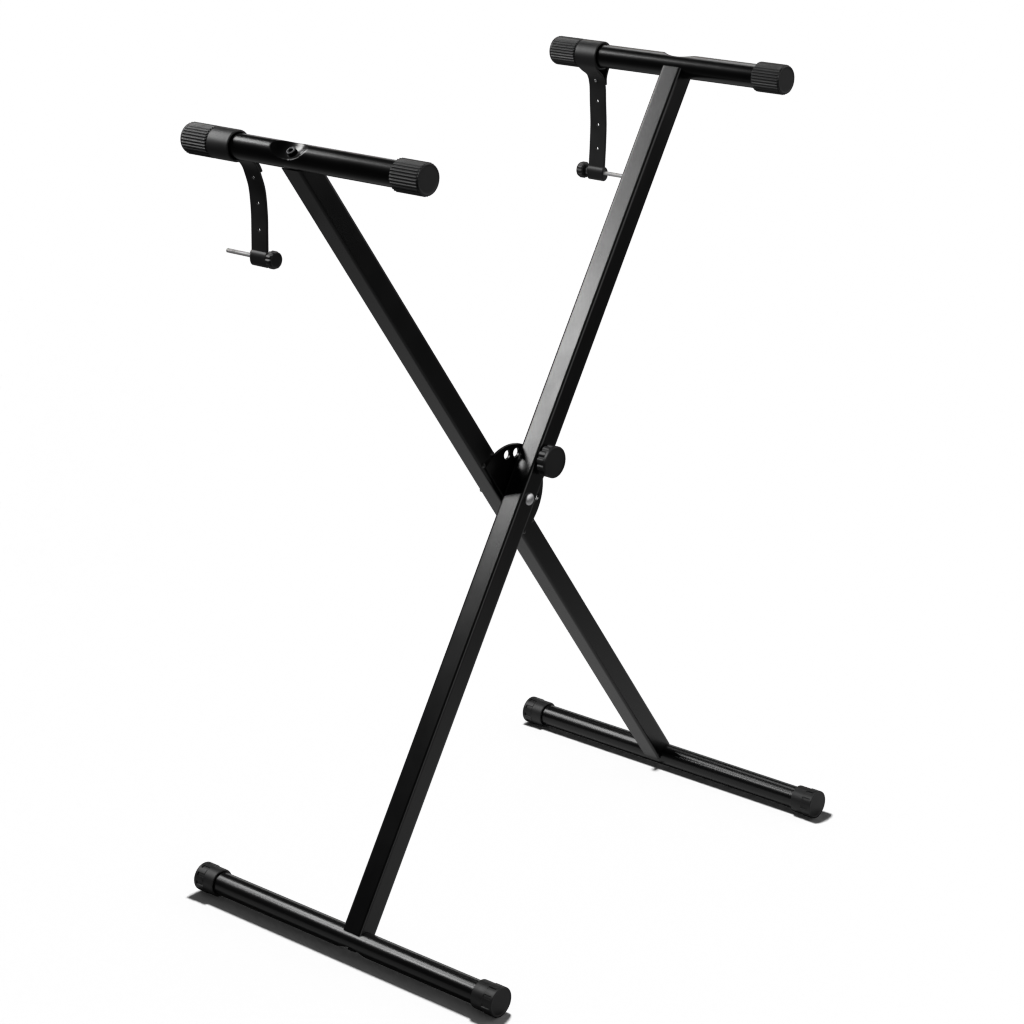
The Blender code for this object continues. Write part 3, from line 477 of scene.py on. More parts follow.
def add_grip(name, node, axis_place, side, body):
    """From the floor of the bore out to the mouth, over the ribs and in across the end face."""
    low, high = box_of(node)
    length = high[1] - low[1]
    mouth = low[1] if side > 0 else high[1]
    bore = bar_radius + FIT
    root = GRIP_RADIUS - GRIP_RIB_DEPTH
    rim = length - GRIP_RIM
    inside = [(bore / 2, length - CAP_FLOOR, 0), (bore, length - CAP_FLOOR, 0), (bore, 0, 0),
              (root - GRIP_CHAMFER / 2, 0, 0)]
    outside = [(GRIP_RADIUS, GRIP_CHAMFER, 1), (GRIP_RADIUS, rim, 1), (root, rim + GRIP_RIM / 4, 0)]
    face = softened([(root, rim + GRIP_RIM / 3, 0)] + cap_face(root, length), CAP_EDGE)
    around = GRIP_RIBS * STEPS_A_RIB
    valley = (0.5 - 0.5 * np.cos(GRIP_RIBS * full_turn(around))) ** GRIP_RIB_POWER
    profile = np.vstack([np.array(inside + outside, float), face])
    rows = turned(profile, at(axis_place, mouth), side * ALONG_BARS, GRIP_RIB_DEPTH * valley, around)
    dress(new_piece(name, rows), body, "black_rubber", soft_black, node)


for side, body in (("left", "rear_frame"), ("right", "front_frame")):
    for end, way in (("near", -1), ("far", 1)):
        add_grip(f"{side}_{end}_grip", f"grip_{side}_{end}", top_axis[side], way, body)


# Foot caps
# Moulded caps on the ends of the foot bars: a plain sleeve, then a thicker band with a ring of
# notches that are open towards the sleeve, a plain rim and a flat end face.
SLEEVE_RADIUS = 0.0151
SLEEVE_CUT = 0.0075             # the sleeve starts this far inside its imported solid
SLEEVE_LIP = 0.0008
BAND_LENGTH = 0.013
BAND_STEP = 0.0006
BAND_RIM = 0.0030
NOTCHES = 10
NOTCH_DEPTH = 0.0013
NOTCH_SHARE = 0.40              # of the way round each pitch
NOTCH_SLOPE = 0.05
STEPS_A_NOTCH = 40


def add_foot_cap(name, node, axis_place, side, body):
    """As a grip, with the band's notches as a trapezium wave round it. The band touches the floor."""
    low, high = box_of(node)
    length = high[1] - low[1] - SLEEVE_CUT
    mouth = (low[1] if side > 0 else high[1]) + side * SLEEVE_CUT
    bore = bar_radius + FIT
    foot_radius = axis_place[2]
    band = length - BAND_LENGTH
    rim = length - BAND_RIM
    inside = softened([(bore / 2, length - CAP_FLOOR, 0), (bore, length - CAP_FLOOR, 0), (bore, 0, 0),
                       (SLEEVE_RADIUS, 0, 0), (SLEEVE_RADIUS, band, 0)], SLEEVE_LIP)
    middle = [(foot_radius, band + BAND_STEP, 1), (foot_radius, rim, 1),
              (foot_radius, rim + BAND_STEP / 3, 0)]
    face = softened([(foot_radius, rim + BAND_STEP / 2, 0)] + cap_face(foot_radius, length), CAP_EDGE)
    around = NOTCHES * STEPS_A_NOTCH
    pitch = (NOTCHES * full_turn(around) / (2 * math.pi)) % 1.0
    notch = np.clip((NOTCH_SHARE / 2 - np.abs(pitch - 0.5)) / NOTCH_SLOPE + 0.5, 0, 1)
    profile = np.vstack([inside, np.array(middle, float), face])
    rows = turned(profile, at(axis_place, mouth), side * ALONG_BARS, NOTCH_DEPTH * notch, around)
    dress(new_piece(name, rows), body, "black_rubber", soft_black, node)


for side, body in (("left", "front_frame"), ("right", "rear_frame")):
    for end, way in (("near", -1), ("far", 1)):
        add_foot_cap(f"{side}_{end}_foot_cap", f"foot_cap_{side}_{end}", foot_axis[side], way, body)


# Latch plate
# Pressed from 2.5 mm steel sheet: rather more than half a disc, with a ring of round holes for the
# locking pin. It is tack welded to the rear leg at both ends of its curved edge and painted with it.
# The weld beads are drawn in a lighter grey than the coat, which is a painted glint.
PLATE_RIM = 0.0044
PLATE_CHORD = 0.0085            # straight edge beyond the leg's centreline
LATCH_RADIUS = 0.045
LATCH_HOLE = 0.0051
PLATE_RADIUS = LATCH_RADIUS + LATCH_HOLE + PLATE_RIM
LATCH_PITCH = math.radians(19.0)
LATCH_BELOW = 2
LATCH_ABOVE = 4
PLATE_EDGE = 0.0003
PLATE_STEPS = 120
BEAD_OFFSET = 0.0085            # of a weld bead from the leg's centreline
BEAD_LENGTH = 0.0052
BEAD_BREADTH = 0.0046
BEAD_HEIGHT = 0.0021
BEAD_RIPPLES = 4
BEAD_RIPPLE = 0.07
BEAD_TIP = 0.995                # share of its half length at which a bead is closed
BEAD_LEAN = 0.05                # of a bead, along the plate's edge
BEAD_ROWS = 33
BEAD_STEPS = 32


def plate_outline(radius):
    """A circle cut by a chord, as (across, up) in the rear leg's frame: the arc, then the chord."""
    edge = math.asin(PLATE_CHORD / radius)
    angle = np.linspace(math.pi / 2 + edge, -math.pi / 2 - edge, PLATE_STEPS)
    arc = radius * np.stack([np.cos(angle), np.sin(angle)], -1)
    share = np.linspace(0, 1, PLATE_STEPS // 3)[1:-1, None]
    return np.vstack([arc, arc[-1] + (arc[0] - arc[-1]) * share])


def add_plate():
    """The sheet drilled for the pivot and the pin. Hole 0 is where the pin stands at rest."""
    low, high = box_of("latch_plate")
    outline = plate_outline(PLATE_RADIUS)
    rows = np.stack([np.insert(outline, 1, y, axis=1) for y in (low[1], high[1])])
    piece = new_piece("latch_sector", in_leg(rows, "rear"))
    thickness = high[1] - low[1]
    drills = [rod("pivot_drill", pivot, ALONG_BARS, PIVOT_HOLE, -thickness, 2 * thickness)]
    half_angle = math.atan2(leg_up["front"][0], leg_up["front"][2])
    for k in range(-LATCH_BELOW, LATCH_ABOVE + 1):
        angle = math.pi / 2 - 2 * half_angle - k * LATCH_PITCH
        place = in_leg(LATCH_RADIUS * np.array((math.cos(angle), 0.0, math.sin(angle))), "rear")
        drills.append(rod("latch_drill", place, ALONG_BARS, LATCH_HOLE, -thickness, 2 * thickness))
    shape_with(piece, "DIFFERENCE", *drills)
    edge = piece.modifiers.new("Rolled edges", "BEVEL")
    edge.width = PLATE_EDGE
    edge.segments = 2
    edge.limit_method = "ANGLE"
    edge.angle_limit = CREASE
    dress(piece, "rear_frame", "black_paint", paint, "latch_plate")


def add_weld_bead(name, across, way):
    """A half sunk egg on the leg's face: circle radii sqrt(1 - t^2), rippled along its length."""
    t = np.linspace(-BEAD_TIP, BEAD_TIP, BEAD_ROWS)
    swell = np.sqrt(1 - t ** 2) * (1 + BEAD_RIPPLE * np.cos(2 * math.pi * BEAD_RIPPLES * t))
    angle = full_turn(BEAD_STEPS)
    up = way * math.sqrt((PLATE_RADIUS + BEAD_BREADTH / 2) ** 2 - across ** 2)
    lean = way * across * BEAD_LEAN * t[:, None]
    face = box_of("leg_rear")[0][1]
    rows = np.empty((len(t), len(angle), 3))
    rows[..., 0] = across + BEAD_LENGTH / 2 * t[:, None]
    rows[..., 1] = face + BEAD_HEIGHT * swell[:, None] * np.sin(angle)
    rows[..., 2] = up + BEAD_BREADTH / 2 * swell[:, None] * np.cos(angle) - lean
    dress(new_piece(name, in_leg(rows, "rear")), "rear_frame", "black_paint", weld)


# The beads' mid grey, far lighter than the black coat round them, is a painted glint on each bead.
weld = finish("painted_weld", (0.10, 0.10, 0.10), 0.2, grain=900.0, depth=0.00005, cloud=400.0)
add_plate()
for end, way in (("upper", 1), ("lower", -1)):
    for edge, across in (("left", -BEAD_OFFSET), ("right", BEAD_OFFSET)):
        add_weld_bead(f"{end}_{edge}_weld", across, way)


# Pivot
# A bright plated bolt with a shallow domed head runs through both legs to a chamfered hexagon nut
# on a plain washer behind. A thin plastic washer keeps the front leg off the latch plate.
BOLT_RADIUS = 0.004
BOLT_HEAD_RADIUS = 0.0067
BOLT_HEAD_HEIGHT = 0.0034
BOLT_BRIM = 0.0005
DOME_START = 0.05               # radians from the dome's top
DOME_STEPS = 14
BOLT_PITCH = 0.00125
THREAD_DEPTH = 0.0004
THREAD_STEPS = 8                # rows a turn of thread
WASHER_RADIUS = 0.008
PIVOT_NUT_ACROSS = 0.012
WASHER_EDGE = 0.0002
NUT_STEPS = 96
NUT_ROWS = 8


def thread_rows(radius, pitch, depth, start, end, around):
    """Radii and heights of a thread: the crest's radius less depth times a triangle wave.

    The wave's phase is the height over the pitch plus the share of a turn.
    """
    height = np.linspace(start, end, max(2, round(abs(end - start) / pitch * THREAD_STEPS)))
    phase = height[:, None] / pitch + full_turn(around) / (2 * math.pi)
    return radius - depth * np.abs(2 * (phase % 1.0) - 1), height


def hex_nut_rows(across_flats, bore, centre, axis, height):
    """A hexagon nut as a ring: the smaller of the hexagon and a cone at each end, then the bore."""
    corner = across_flats / math.sqrt(3)
    hexagon = corner - hexagon_relief(corner, NUT_STEPS)
    low = np.linspace(0, corner - across_flats / 2, NUT_ROWS)
    up = np.concatenate([low, height - low[::-1]])
    cone = across_flats / 2 + FIT + np.minimum(up, height - up) * math.sqrt(3)
    outside = np.minimum(hexagon[None, :], cone[:, None])
    inside = np.full((2, NUT_STEPS), bore)
    return spun(np.vstack([outside, inside]), np.concatenate([up, [height, 0.0]]), centre, axis)


def ring_profile(outer, inner, low, high, edge):
    """A washer's section, started in the middle of its bore so that every corner is rounded."""
    middle = (low + high) / 2
    return softened([(inner, middle, 0), (inner, low, 0), (outer, low, 0), (outer, high, 0),
                     (inner, high, 0), (inner, middle + edge / 4, 0)], edge)


def add_bolt(nut_face):
    """An elliptic dome on a brim, a plain shank up to the nut and a thread beyond, then a plain end."""
    low, high = box_of("pivot_bolt")
    under = low[1] + BOLT_HEAD_HEIGHT
    plain = under - nut_face
    end = under - high[1]
    bend = np.linspace(DOME_START, math.pi / 2, DOME_STEPS)
    rise = BOLT_HEAD_HEIGHT - BOLT_BRIM
    dome = np.stack([BOLT_HEAD_RADIUS * np.sin(bend), BOLT_BRIM + rise * np.cos(bend)], -1)
    profile = np.vstack([dome, [(BOLT_HEAD_RADIUS, 0), (BOLT_RADIUS, 0), (BOLT_RADIUS, plain)]])
    thread, height = thread_rows(BOLT_RADIUS, BOLT_PITCH, THREAD_DEPTH, plain - FIT, end + THREAD_DEPTH,
                                 TURNED_STEPS)
    last = np.full((1, TURNED_STEPS), BOLT_RADIUS - 2 * THREAD_DEPTH)
    radius = np.vstack([np.repeat(profile[:, :1], TURNED_STEPS, axis=1), thread, last])
    height = np.concatenate([profile[:, 1], height, [end]])
    piece = new_piece("pivot_bolt_dome", spun(radius, height, at(pivot, under), -ALONG_BARS))
    dress(piece, "front_frame", "zinc", zinc, "pivot_bolt")


low, high = box_of("pivot_nut")
add_bolt(low[1])
rows = hex_nut_rows(PIVOT_NUT_ACROSS, BOLT_RADIUS + FIT, at(pivot, low[1]), ALONG_BARS, high[1] - low[1])
dress(new_piece("pivot_hex_nut", rows, ring=True), "front_frame", "zinc", zinc, "pivot_nut")
for node, slot, surface in (("pivot_washer", "black_plastic", plastic), ("pivot_rear_washer", "zinc", zinc)):
    low, high = box_of(node)
    section = ring_profile(WASHER_RADIUS, BOLT_RADIUS + FIT, low[1], high[1], WASHER_EDGE)
    rows = turned(section, at(pivot, 0.0), ALONG_BARS)
    dress(new_piece(node + "_ring", rows, ring=True), "front_frame", slot, surface, node)


# Lock
# A moulded knob on a sprung pin. The pin slides in a flanged ferrule pressed into the front leg and
# drops into a hole of the latch plate. The knob has flutes behind a plain rim and a flat face.
KNOB_RIM = 0.0036
KNOB_FLUTES = 12
KNOB_FLUTE_DEPTH = 0.0017
KNOB_EDGE = 0.0009              # softness of the knobs' and the ferrule's edges
KNOB_GROOVE = 0.0004            # fine step between the flutes and the rim
KNOB_DISH = 0.0006              # depth of the flat face inside its raised edge
PIN_RADIUS = 0.0035
PIN_GRIP = 0.008                # length of the pin inside the knob
FERRULE_RADIUS = 0.0085
FERRULE_BORE = 0.0058
FERRULE_REACH = 0.006
STEPS_A_FLUTE = 24
FLUTE_POWER = 5                 # the higher, the narrower the scallops between the lobes


def flutes(count, depth, around):
    """Scallops round a knob: depth times |cos| to a high power, so that the lobes stay broad."""
    return depth * np.abs(np.cos(count / 2 * full_turn(around))) ** FLUTE_POWER


def add_lock_knob():
    """From the pin's socket out through the ferrule's recess, over the flutes and in across the face."""
    low, high = box_of("lock_knob")
    radius = (high[2] - low[2]) / 2
    depth = high[1] - low[1]
    stroke = next(joint["range_m"][1] for joint in frame["joints"] if joint["name"] == "lock_push")
    recess = FERRULE_RADIUS + 2 * FIT
    bore = PIN_RADIUS + FIT
    rim = depth - KNOB_RIM
    inner = radius - FACE_EDGE
    floor = depth - KNOB_DISH
    inside = softened([(bore / 2, stroke + PIN_GRIP, 0), (bore, stroke + PIN_GRIP, 0),
                       (bore, stroke + FIT, 0), (recess, stroke + FIT, 0), (recess, 0, 0),
                       (radius - KNOB_EDGE, 0, 1)], KNOB_GROOVE)
    side = [(radius, KNOB_EDGE, 1), (radius, rim - KNOB_GROOVE, 1), (radius - KNOB_GROOVE, rim, 0)]
    edge = softened([(radius, rim + KNOB_GROOVE, 0), (radius, depth, 0), (inner, depth, 0)], KNOB_EDGE)
    face = [(inner - KNOB_DISH / 2, floor, 0), (radius / 2, floor, 0)]
    profile = np.vstack([inside, np.array(side, float), edge, np.array(face, float)])
    around = KNOB_FLUTES * STEPS_A_FLUTE
    relief = flutes(KNOB_FLUTES, KNOB_FLUTE_DEPTH, around)
    rows = turned(profile, at(lock_place, high[1]), -ALONG_BARS, relief, around)
    dress(new_piece("lock_hand_knob", rows), "lock", "black_plastic", plastic, "lock_knob")


def add_ferrule():
    """A flange and a narrower sleeve behind it, both rounded, round one bore."""
    low, high = box_of("lock_ferrule")
    flange = high[1] - FERRULE_REACH
    inner = PIN_RADIUS + FIT
    middle = (low[1] + high[1]) / 2
    section = softened([(inner, middle, 0), (inner, low[1], 0), (FERRULE_RADIUS, low[1], 0),
                        (FERRULE_RADIUS, flange - FIT, 0), (FERRULE_BORE, flange - FIT, 0),
                        (FERRULE_BORE, high[1], 0), (inner, high[1], 0), (inner, middle + FIT, 0)],
                       KNOB_EDGE)
    rows = turned(section, at(lock_place, 0.0), ALONG_BARS)
    dress(new_piece("lock_flanged_ferrule", rows, ring=True), "front_frame", "black_plastic", plastic,
          "lock_ferrule")


add_lock_knob()
add_ferrule()
keep_solid("lock_pin", zinc)
keep_solid("lock_spring", zinc)


# Straps
# One on each top bar, moulded in soft black plastic: a collar that turns on the bar, a long tail and
# a short tab behind it, riveted together. The tail has three holes and ends in a round lug.
STRAP_THICKNESS = 0.0024
STRAP_EDGE = 0.0009
STRAP_WIDTH = 0.022
STRAP_COLLAR_WIDTH = 0.029
STRAP_TAPER = 0.030
STRAP_BITE = 0.0004             # a band is this much narrower than the collar it grows from
STRAP_HOLE = 0.0020
STRAP_HOLE_PITCH = 0.0268
STRAP_HOLES = 3
STRAP_LUG_RADIUS = 0.0064
STRAP_LUG_DROP = 0.0028
LUG_FRONT = 0.56                # depth of the lug's front as a share of its radius
LUG_STEPS = 64
STRAP_EDGE_STEPS = 5
ROUTE_STEPS = 10                # points a span of a route
COLLAR_STEPS = 120
THUMB_ROD = 0.0020
RIVET_RADIUS = 0.0010
RIVET_HEAD = 0.0018
RIVET_DOME = 0.0008
RIVET_GRIP = 0.0078
RIVET_START = {"left": 0.0004, "right": -RIVET_GRIP / 2}     # the left one's near head is moulded over
RIVET_TILT = {"left": math.radians(25), "right": math.radians(9)}
RIVET_DOME_START = 0.1          # radians from the dome's top
RIVET_DOME_STEPS = 8
RIVET_STEPS = 32
HAIR = 0.00001                  # less than any step between two points
FIRST_HOLE = {"left": -0.038, "right": -0.053}     # height from the bar's axis
# Routes in the side view, as (x, z) from the bar's axis.
TAIL = {"left": [(0.0020, -0.0142), (0.0098, -0.0154), (0.0175, -0.0176), (0.0234, -0.0216),
                 (0.0277, -0.0275), (0.0308, -0.0355), (0.0350, -0.0510), (0.0362, -0.0740),
                 (0.0352, -0.0960), (0.0338, -0.1190)],
        "right": [(-0.0142, -0.001), (-0.0120, -0.0095), (-0.0055, -0.0165), (0.0030, -0.0235),
                  (0.0068, -0.0350), (0.0073, -0.0540), (0.0078, -0.0790), (0.0062, -0.1040),
                  (0.0034, -0.1330)]}
TAB = {"left": [(0.0142, 0.001), (0.0160, -0.006), (0.0205, -0.0125), (0.0262, -0.0195),
                (0.0302, -0.0262), (0.0325, -0.0315)],
       "right": [(0.0142, -0.001), (0.0135, -0.0100), (0.0110, -0.0180), (0.0092, -0.0265),
                 (0.0092, -0.0340)]}


def smooth_route(points):
    """Catmull-Rom curve through points: each span's cubic from the two points on either side."""
    points = np.array(points)
    ends = np.vstack([points[:1], points, points[-1:]])
    a, b, c, d = (ends[k:len(ends) - 3 + k, None] for k in range(4))
    t = np.linspace(0, 1, ROUTE_STEPS, endpoint=False)[None, :, None]
    square = (2 * a - 5 * b + 4 * c - d) * t ** 2
    cube = (3 * b - a - 3 * c + d) * t ** 3
    spans = (2 * b + (c - a) * t + square + cube) / 2
    return np.vstack([spans.reshape(-1, 2), points[-1:]])


def band_section(widths):
    """Rounded rectangles, one a row: quarter circles about the four corners set in by their radius."""
    bend = np.linspace(0, math.pi / 2, STRAP_EDGE_STEPS)
    arc = np.concatenate([bend + k * math.pi / 2 for k in range(4)])
    sign_wide = np.sign(np.cos(arc.reshape(4, -1).mean(1))).repeat(STRAP_EDGE_STEPS)
    sign_thick = np.sign(np.sin(arc.reshape(4, -1).mean(1))).repeat(STRAP_EDGE_STEPS)
    wide = sign_wide * (widths[:, None] / 2 - STRAP_EDGE) + STRAP_EDGE * np.cos(arc)
    thick = sign_thick * (STRAP_THICKNESS / 2 - STRAP_EDGE) + STRAP_EDGE * np.sin(arc)
    return wide, np.broadcast_to(thick, wide.shape)


def band_rows(route, start_width, end_width, origin):
    """The section carried along a route in the side view, its thickness along the route's normal.

    The width eases from start to end as 3 p^2 - 2 p^3, p being the way travelled over the taper.
    """
    way = smooth_route(route)
    tangent = np.gradient(way, axis=0)
    tangent /= np.linalg.norm(tangent, axis=1)[:, None]
    steps = np.linalg.norm(np.diff(way, axis=0), axis=1)
    travelled = np.clip(np.concatenate([[0], np.cumsum(steps)]) / STRAP_TAPER, 0, 1)
    width = start_width + (end_width - start_width) * (3 * travelled ** 2 - 2 * travelled ** 3)
    wide, thick = band_section(width)
    x = way[:, :1] + tangent[:, 1:] * thick
    z = way[:, 1:] - tangent[:, :1] * thick
    return origin + np.stack([x, wide, z], -1)


def collar_rows(origin):
    """The section carried round the bar."""
    middle = bar_radius + 2 * FIT + STRAP_THICKNESS / 2
    wide, thick = band_section(np.full(COLLAR_STEPS, STRAP_COLLAR_WIDTH))
    angle = full_turn(COLLAR_STEPS)[:, None]
    return origin + np.stack([(middle + thick) * np.cos(angle), wide, (middle + thick) * np.sin(angle)], -1)


def lug_rows(place, drop):
    """A block across the strap's end: a circle, lower in its lower half and flatter in front."""
    half = STRAP_WIDTH / 2
    section = softened([(STRAP_LUG_RADIUS / 2, -half, 0), (STRAP_LUG_RADIUS, -half, 0),
                        (STRAP_LUG_RADIUS, half, 0), (STRAP_LUG_RADIUS / 2, half, 0)], STRAP_EDGE)
    rows = turned(section, place, ALONG_BARS, around=LUG_STEPS)
    lower = rows[..., 2] < place[2] - HAIR
    rows[..., 2] -= drop * lower
    front = np.minimum(rows[..., 0] - place[0], 0)
    rows[..., 0] -= (1 - LUG_FRONT) * front
    return rows


def rivet_place(side):
    """The rivet's middle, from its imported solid, and its axis square to the tail and the tab."""
    tilt = RIVET_TILT[side]
    return middle_of(f"strap_{side}_rivet"), np.array((math.cos(tilt), 0.0, math.sin(tilt)))


def add_strap(side):
    """Collar, tail, tab and lug joined in one, then drilled for the bar, the rod, the rivet and holes."""
    origin = joint_place(side + "_strap_swing")
    lug = joint_place(side + "_screw_turn")
    start = STRAP_COLLAR_WIDTH - STRAP_BITE
    piece = new_piece(side + "_moulded_strap", collar_rows(origin), ring=True)
    joined = [new_piece("tail", band_rows(TAIL[side], start, STRAP_WIDTH, origin)),
              new_piece("tab", band_rows(TAB[side], start - STRAP_BITE, STRAP_WIDTH - STRAP_BITE, origin)),
              new_piece("lug", lug_rows(lug, STRAP_LUG_DROP))]
    shape_with(piece, "UNION", *joined)
    reach = STRAP_COLLAR_WIDTH
    rivet, axis = rivet_place(side)
    drills = [rod("bore", origin, ALONG_BARS, bar_radius + 1.5 * FIT, -reach, reach),
              rod("rod_drill", lug, ALONG_BARS, THUMB_ROD + FIT, -reach, reach),
              rod("rivet_drill", rivet, axis, RIVET_RADIUS + FIT, RIVET_START[side], reach / 3)]
    for k in range(STRAP_HOLES):
        place = origin + (0, 0, FIRST_HOLE[side] - k * STRAP_HOLE_PITCH)
        drills.append(rod("strap_drill", place, np.array((1.0, 0.0, 0.0)), STRAP_HOLE, 0, 2 * reach))
    shape_with(piece, "DIFFERENCE", *drills)
    dress(piece, side + "_strap", "black_rubber", soft_black, "strap_" + side)


def add_rivet(side):
    """Shallow domes, a quarter ellipse each, on the ends of a thin shank."""
    place, axis = rivet_place(side)
    start, end = RIVET_START[side], RIVET_GRIP / 2
    bend = np.linspace(RIVET_DOME_START, math.pi / 2, RIVET_DOME_STEPS)
    dome = np.stack([RIVET_HEAD * np.sin(bend), RIVET_DOME * np.cos(bend), 0 * bend], -1)
    shank = np.array([(RIVET_RADIUS, end, 0), (RIVET_RADIUS, start, 0)])
    profile = np.vstack([dome + (0, end, 0), shank, dome[::-1] * (1, -1, 1) + (0, start, 0)])
    rows = turned(profile, place, axis, around=RIVET_STEPS)
    dress(new_piece(side + "_strap_rivet", rows), side + "_strap", "zinc", zinc, f"strap_{side}_rivet")


for side in ("left", "right"):
    add_strap(side)
for side in ("left", "right"):
    add_rivet(side)


# Thumb screws
# A threaded plated rod through each strap's lug, with a small fluted knob moulded on one end and a
# hexagon nut that clamps it to the lug.
ROD_PITCH = 0.0007
ROD_THREAD = 0.00014
ROD_STEPS = 24
THUMB_FLUTES = 10
THUMB_FLUTE_DEPTH = 0.0011
THUMB_KNOB_RADIUS = 0.0088
THUMB_KNOB_FLOOR = 0.003
THUMB_NUT_ACROSS = 0.007


def add_thumb_screw(side, knob_way):
    """Heights run from the lug's middle towards the knob."""
    body = side + "_thumb_screw"
    lug = joint_place(side + "_screw_turn")
    axis = knob_way * ALONG_BARS
    ends = {}
    for part in ("rod", "knob", "nut"):
        low, high = box_of(f"strap_{side}_{part}")
        ends[part] = sorted((knob_way * (low[1] - lug[1]), knob_way * (high[1] - lug[1])))
    low, high = ends["rod"]
    radius, height = thread_rows(THUMB_ROD, ROD_PITCH, ROD_THREAD, low + ROD_THREAD, high - ROD_THREAD,
                                 ROD_STEPS)
    tip = np.full((1, ROD_STEPS), THUMB_ROD - 2 * ROD_THREAD)
    rows = spun(np.vstack([tip, radius, tip]), np.concatenate([[low], height, [high]]), lug, axis)
    dress(new_piece(side + "_threaded_rod", rows), body, "zinc", rod_zinc_painted_highlight, f"strap_{side}_rod")
    low, high = ends["knob"]
    floor = high - THUMB_KNOB_FLOOR
    bore = THUMB_ROD + FIT
    knob = THUMB_KNOB_RADIUS
    edge = KNOB_EDGE
    profile = softened([(bore / 2, floor, 0), (bore, floor, 0), (bore, low, 0), (knob - 2 * edge, low, 0),
                        (knob, low + edge, 1), (knob, high - 2 * edge, 1), (knob - edge, high, 0),
                        (knob - 2 * edge, high, 0), (knob - 2.5 * edge, high - FACE_STEP, 0),
                        (knob / 2, high - FACE_STEP, 0)], edge / 2)
    around = THUMB_FLUTES * STEPS_A_FLUTE
    rows = turned(profile, lug, axis, flutes(THUMB_FLUTES, THUMB_FLUTE_DEPTH, around), around)
    dress(new_piece(side + "_thumb_knob", rows), body, "black_plastic", plastic, f"strap_{side}_knob")
    low, high = ends["nut"]
    rows = hex_nut_rows(THUMB_NUT_ACROSS, bore, lug + low * axis, axis, high - low)
    dress(new_piece(side + "_thumb_nut", rows, ring=True), body, "zinc", zinc, f"strap_{side}_nut")


# The rods' pale, mostly diffuse zinc, lighter than the plating on the nuts, is partly the plate's own colour
# and partly a painted highlight.
rod_zinc_painted_highlight = finish("pale_zinc_plate", (0.9, 0.9, 0.9), 0.3, metallic=0.25, grain=1800.0, depth=0.000004)
add_thumb_screw("left", -1)
add_thumb_screw("right", 1)


# Floor
# A pale sweep of paper that the stand rests on. The camera sees only the stand's shadow on it, and
# the paint mirrors it as it is lit.
FLOOR_SIZE = 12.0
FLOOR_SHADE = (0.36, 0.36, 0.36)
FLOOR_DROP = 0.0003


def add_floor():
    half = FLOOR_SIZE / 2
    mesh = bpy.data.meshes.new("paper_floor")
    corners = [(-half, -half, -FLOOR_DROP), (half, -half, -FLOOR_DROP), (half, half, -FLOOR_DROP),
               (-half, half, -FLOOR_DROP)]
    mesh.from_pydata(corners, [], [(0, 1, 2, 3)])
    floor = bpy.data.objects.new("paper_floor", mesh)
    bpy.context.scene.collection.objects.link(floor)
    mesh.materials.append(finish("pale_paper", FLOOR_SHADE, 0.8, grain=300.0, depth=0.00005, cloud=1.0))
    floor.is_shadow_catcher = True


add_floor()


# Surroundings
# A white backdrop behind the stand and a white screen on the camera's side, in a studio that is
# otherwise dark, with a little even light. The camera sees white all over; paint and metal see the
# backdrop and the screen where they stand.
BACKDROP_TOWARDS = unit(np.array((0.755, 0.656, -0.1)))
BACKDROP_START = 0.93           # cosine of the angle from the backdrop's middle
BACKDROP_FULL = 0.985
SCREEN_TOWARDS = unit(np.array((0.45, -0.85, 0.25)))
SCREEN_START = 0.5
SCREEN_FULL = 0.8
STUDIO_GREY = 0.02
FILL = 0.05


def add_surroundings():
    """Each white is a smooth step of the cosine of the angle from its middle."""
    world = bpy.data.worlds.new("studio")
    bpy.context.scene.world = world
    world.use_nodes = True
    nodes, links = world.node_tree.nodes, world.node_tree.links
    nodes.clear()
    out = nodes.new("ShaderNodeOutputWorld")
    path = nodes.new("ShaderNodeLightPath")
    place = nodes.new("ShaderNodeTexCoord")

    def white(middle, start, full):
        towards = nodes.new("ShaderNodeVectorMath")
        towards.operation = "DOT_PRODUCT"
        towards.inputs[1].default_value = middle
        links.new(place.outputs["Generated"], towards.inputs[0])
        step = nodes.new("ShaderNodeMapRange")
        step.interpolation_type = "SMOOTHSTEP"
        step.inputs["From Min"].default_value = start
        step.inputs["From Max"].default_value = full
        step.inputs["To Min"].default_value = STUDIO_GREY
        step.inputs["To Max"].default_value = 1.0
        links.new(towards.outputs["Value"], step.inputs["Value"])
        return step.outputs["Result"]

    def larger(one, other):
        pick = nodes.new("ShaderNodeMath")
        pick.operation = "MAXIMUM"
        links.new(one, pick.inputs[0])
        links.new(other, pick.inputs[1])
        return pick.outputs["Value"]

    studio = larger(white(BACKDROP_TOWARDS, BACKDROP_START, BACKDROP_FULL),
                    white(SCREEN_TOWARDS, SCREEN_START, SCREEN_FULL))
    light = nodes.new("ShaderNodeMix")
    light.inputs["A"].default_value = FILL
    links.new(path.outputs["Is Glossy Ray"], light.inputs["Factor"])
    links.new(studio, light.inputs["B"])
    seen = nodes.new("ShaderNodeMix")
    seen.inputs["B"].default_value = 1.0
    links.new(path.outputs["Is Camera Ray"], seen.inputs["Factor"])
    links.new(light.outputs["Result"], seen.inputs["A"])
    sky = nodes.new("ShaderNodeBackground")
    sky.inputs["Color"].default_value = (1.0, 1.0, 1.0, 1.0)
    links.new(seen.outputs["Result"], sky.inputs["Strength"])
    links.new(sky.outputs["Background"], out.inputs["Surface"])


add_surroundings()


# Lamps
# Three softboxes behind the stand light the stand alone, and the one at the far left leaves out the
# top bars. A small lamp overhead lights only the floor, where the foot bars and their caps shade it.
def add_softbox(name, place, towards, width, height, power):
    data = bpy.data.lights.new(name, "AREA")
    data.shape = "RECTANGLE"
    data.size = width
    data.size_y = height
    data.energy = power
    lamp = bpy.data.objects.new(name, data)
    bpy.context.scene.collection.objects.link(lamp)
    lamp.location = place
    lamp.rotation_mode = "QUATERNION"
    lamp.rotation_quaternion = (Vector(towards) - Vector(place)).to_track_quat("-Z", "Y")
    return lamp


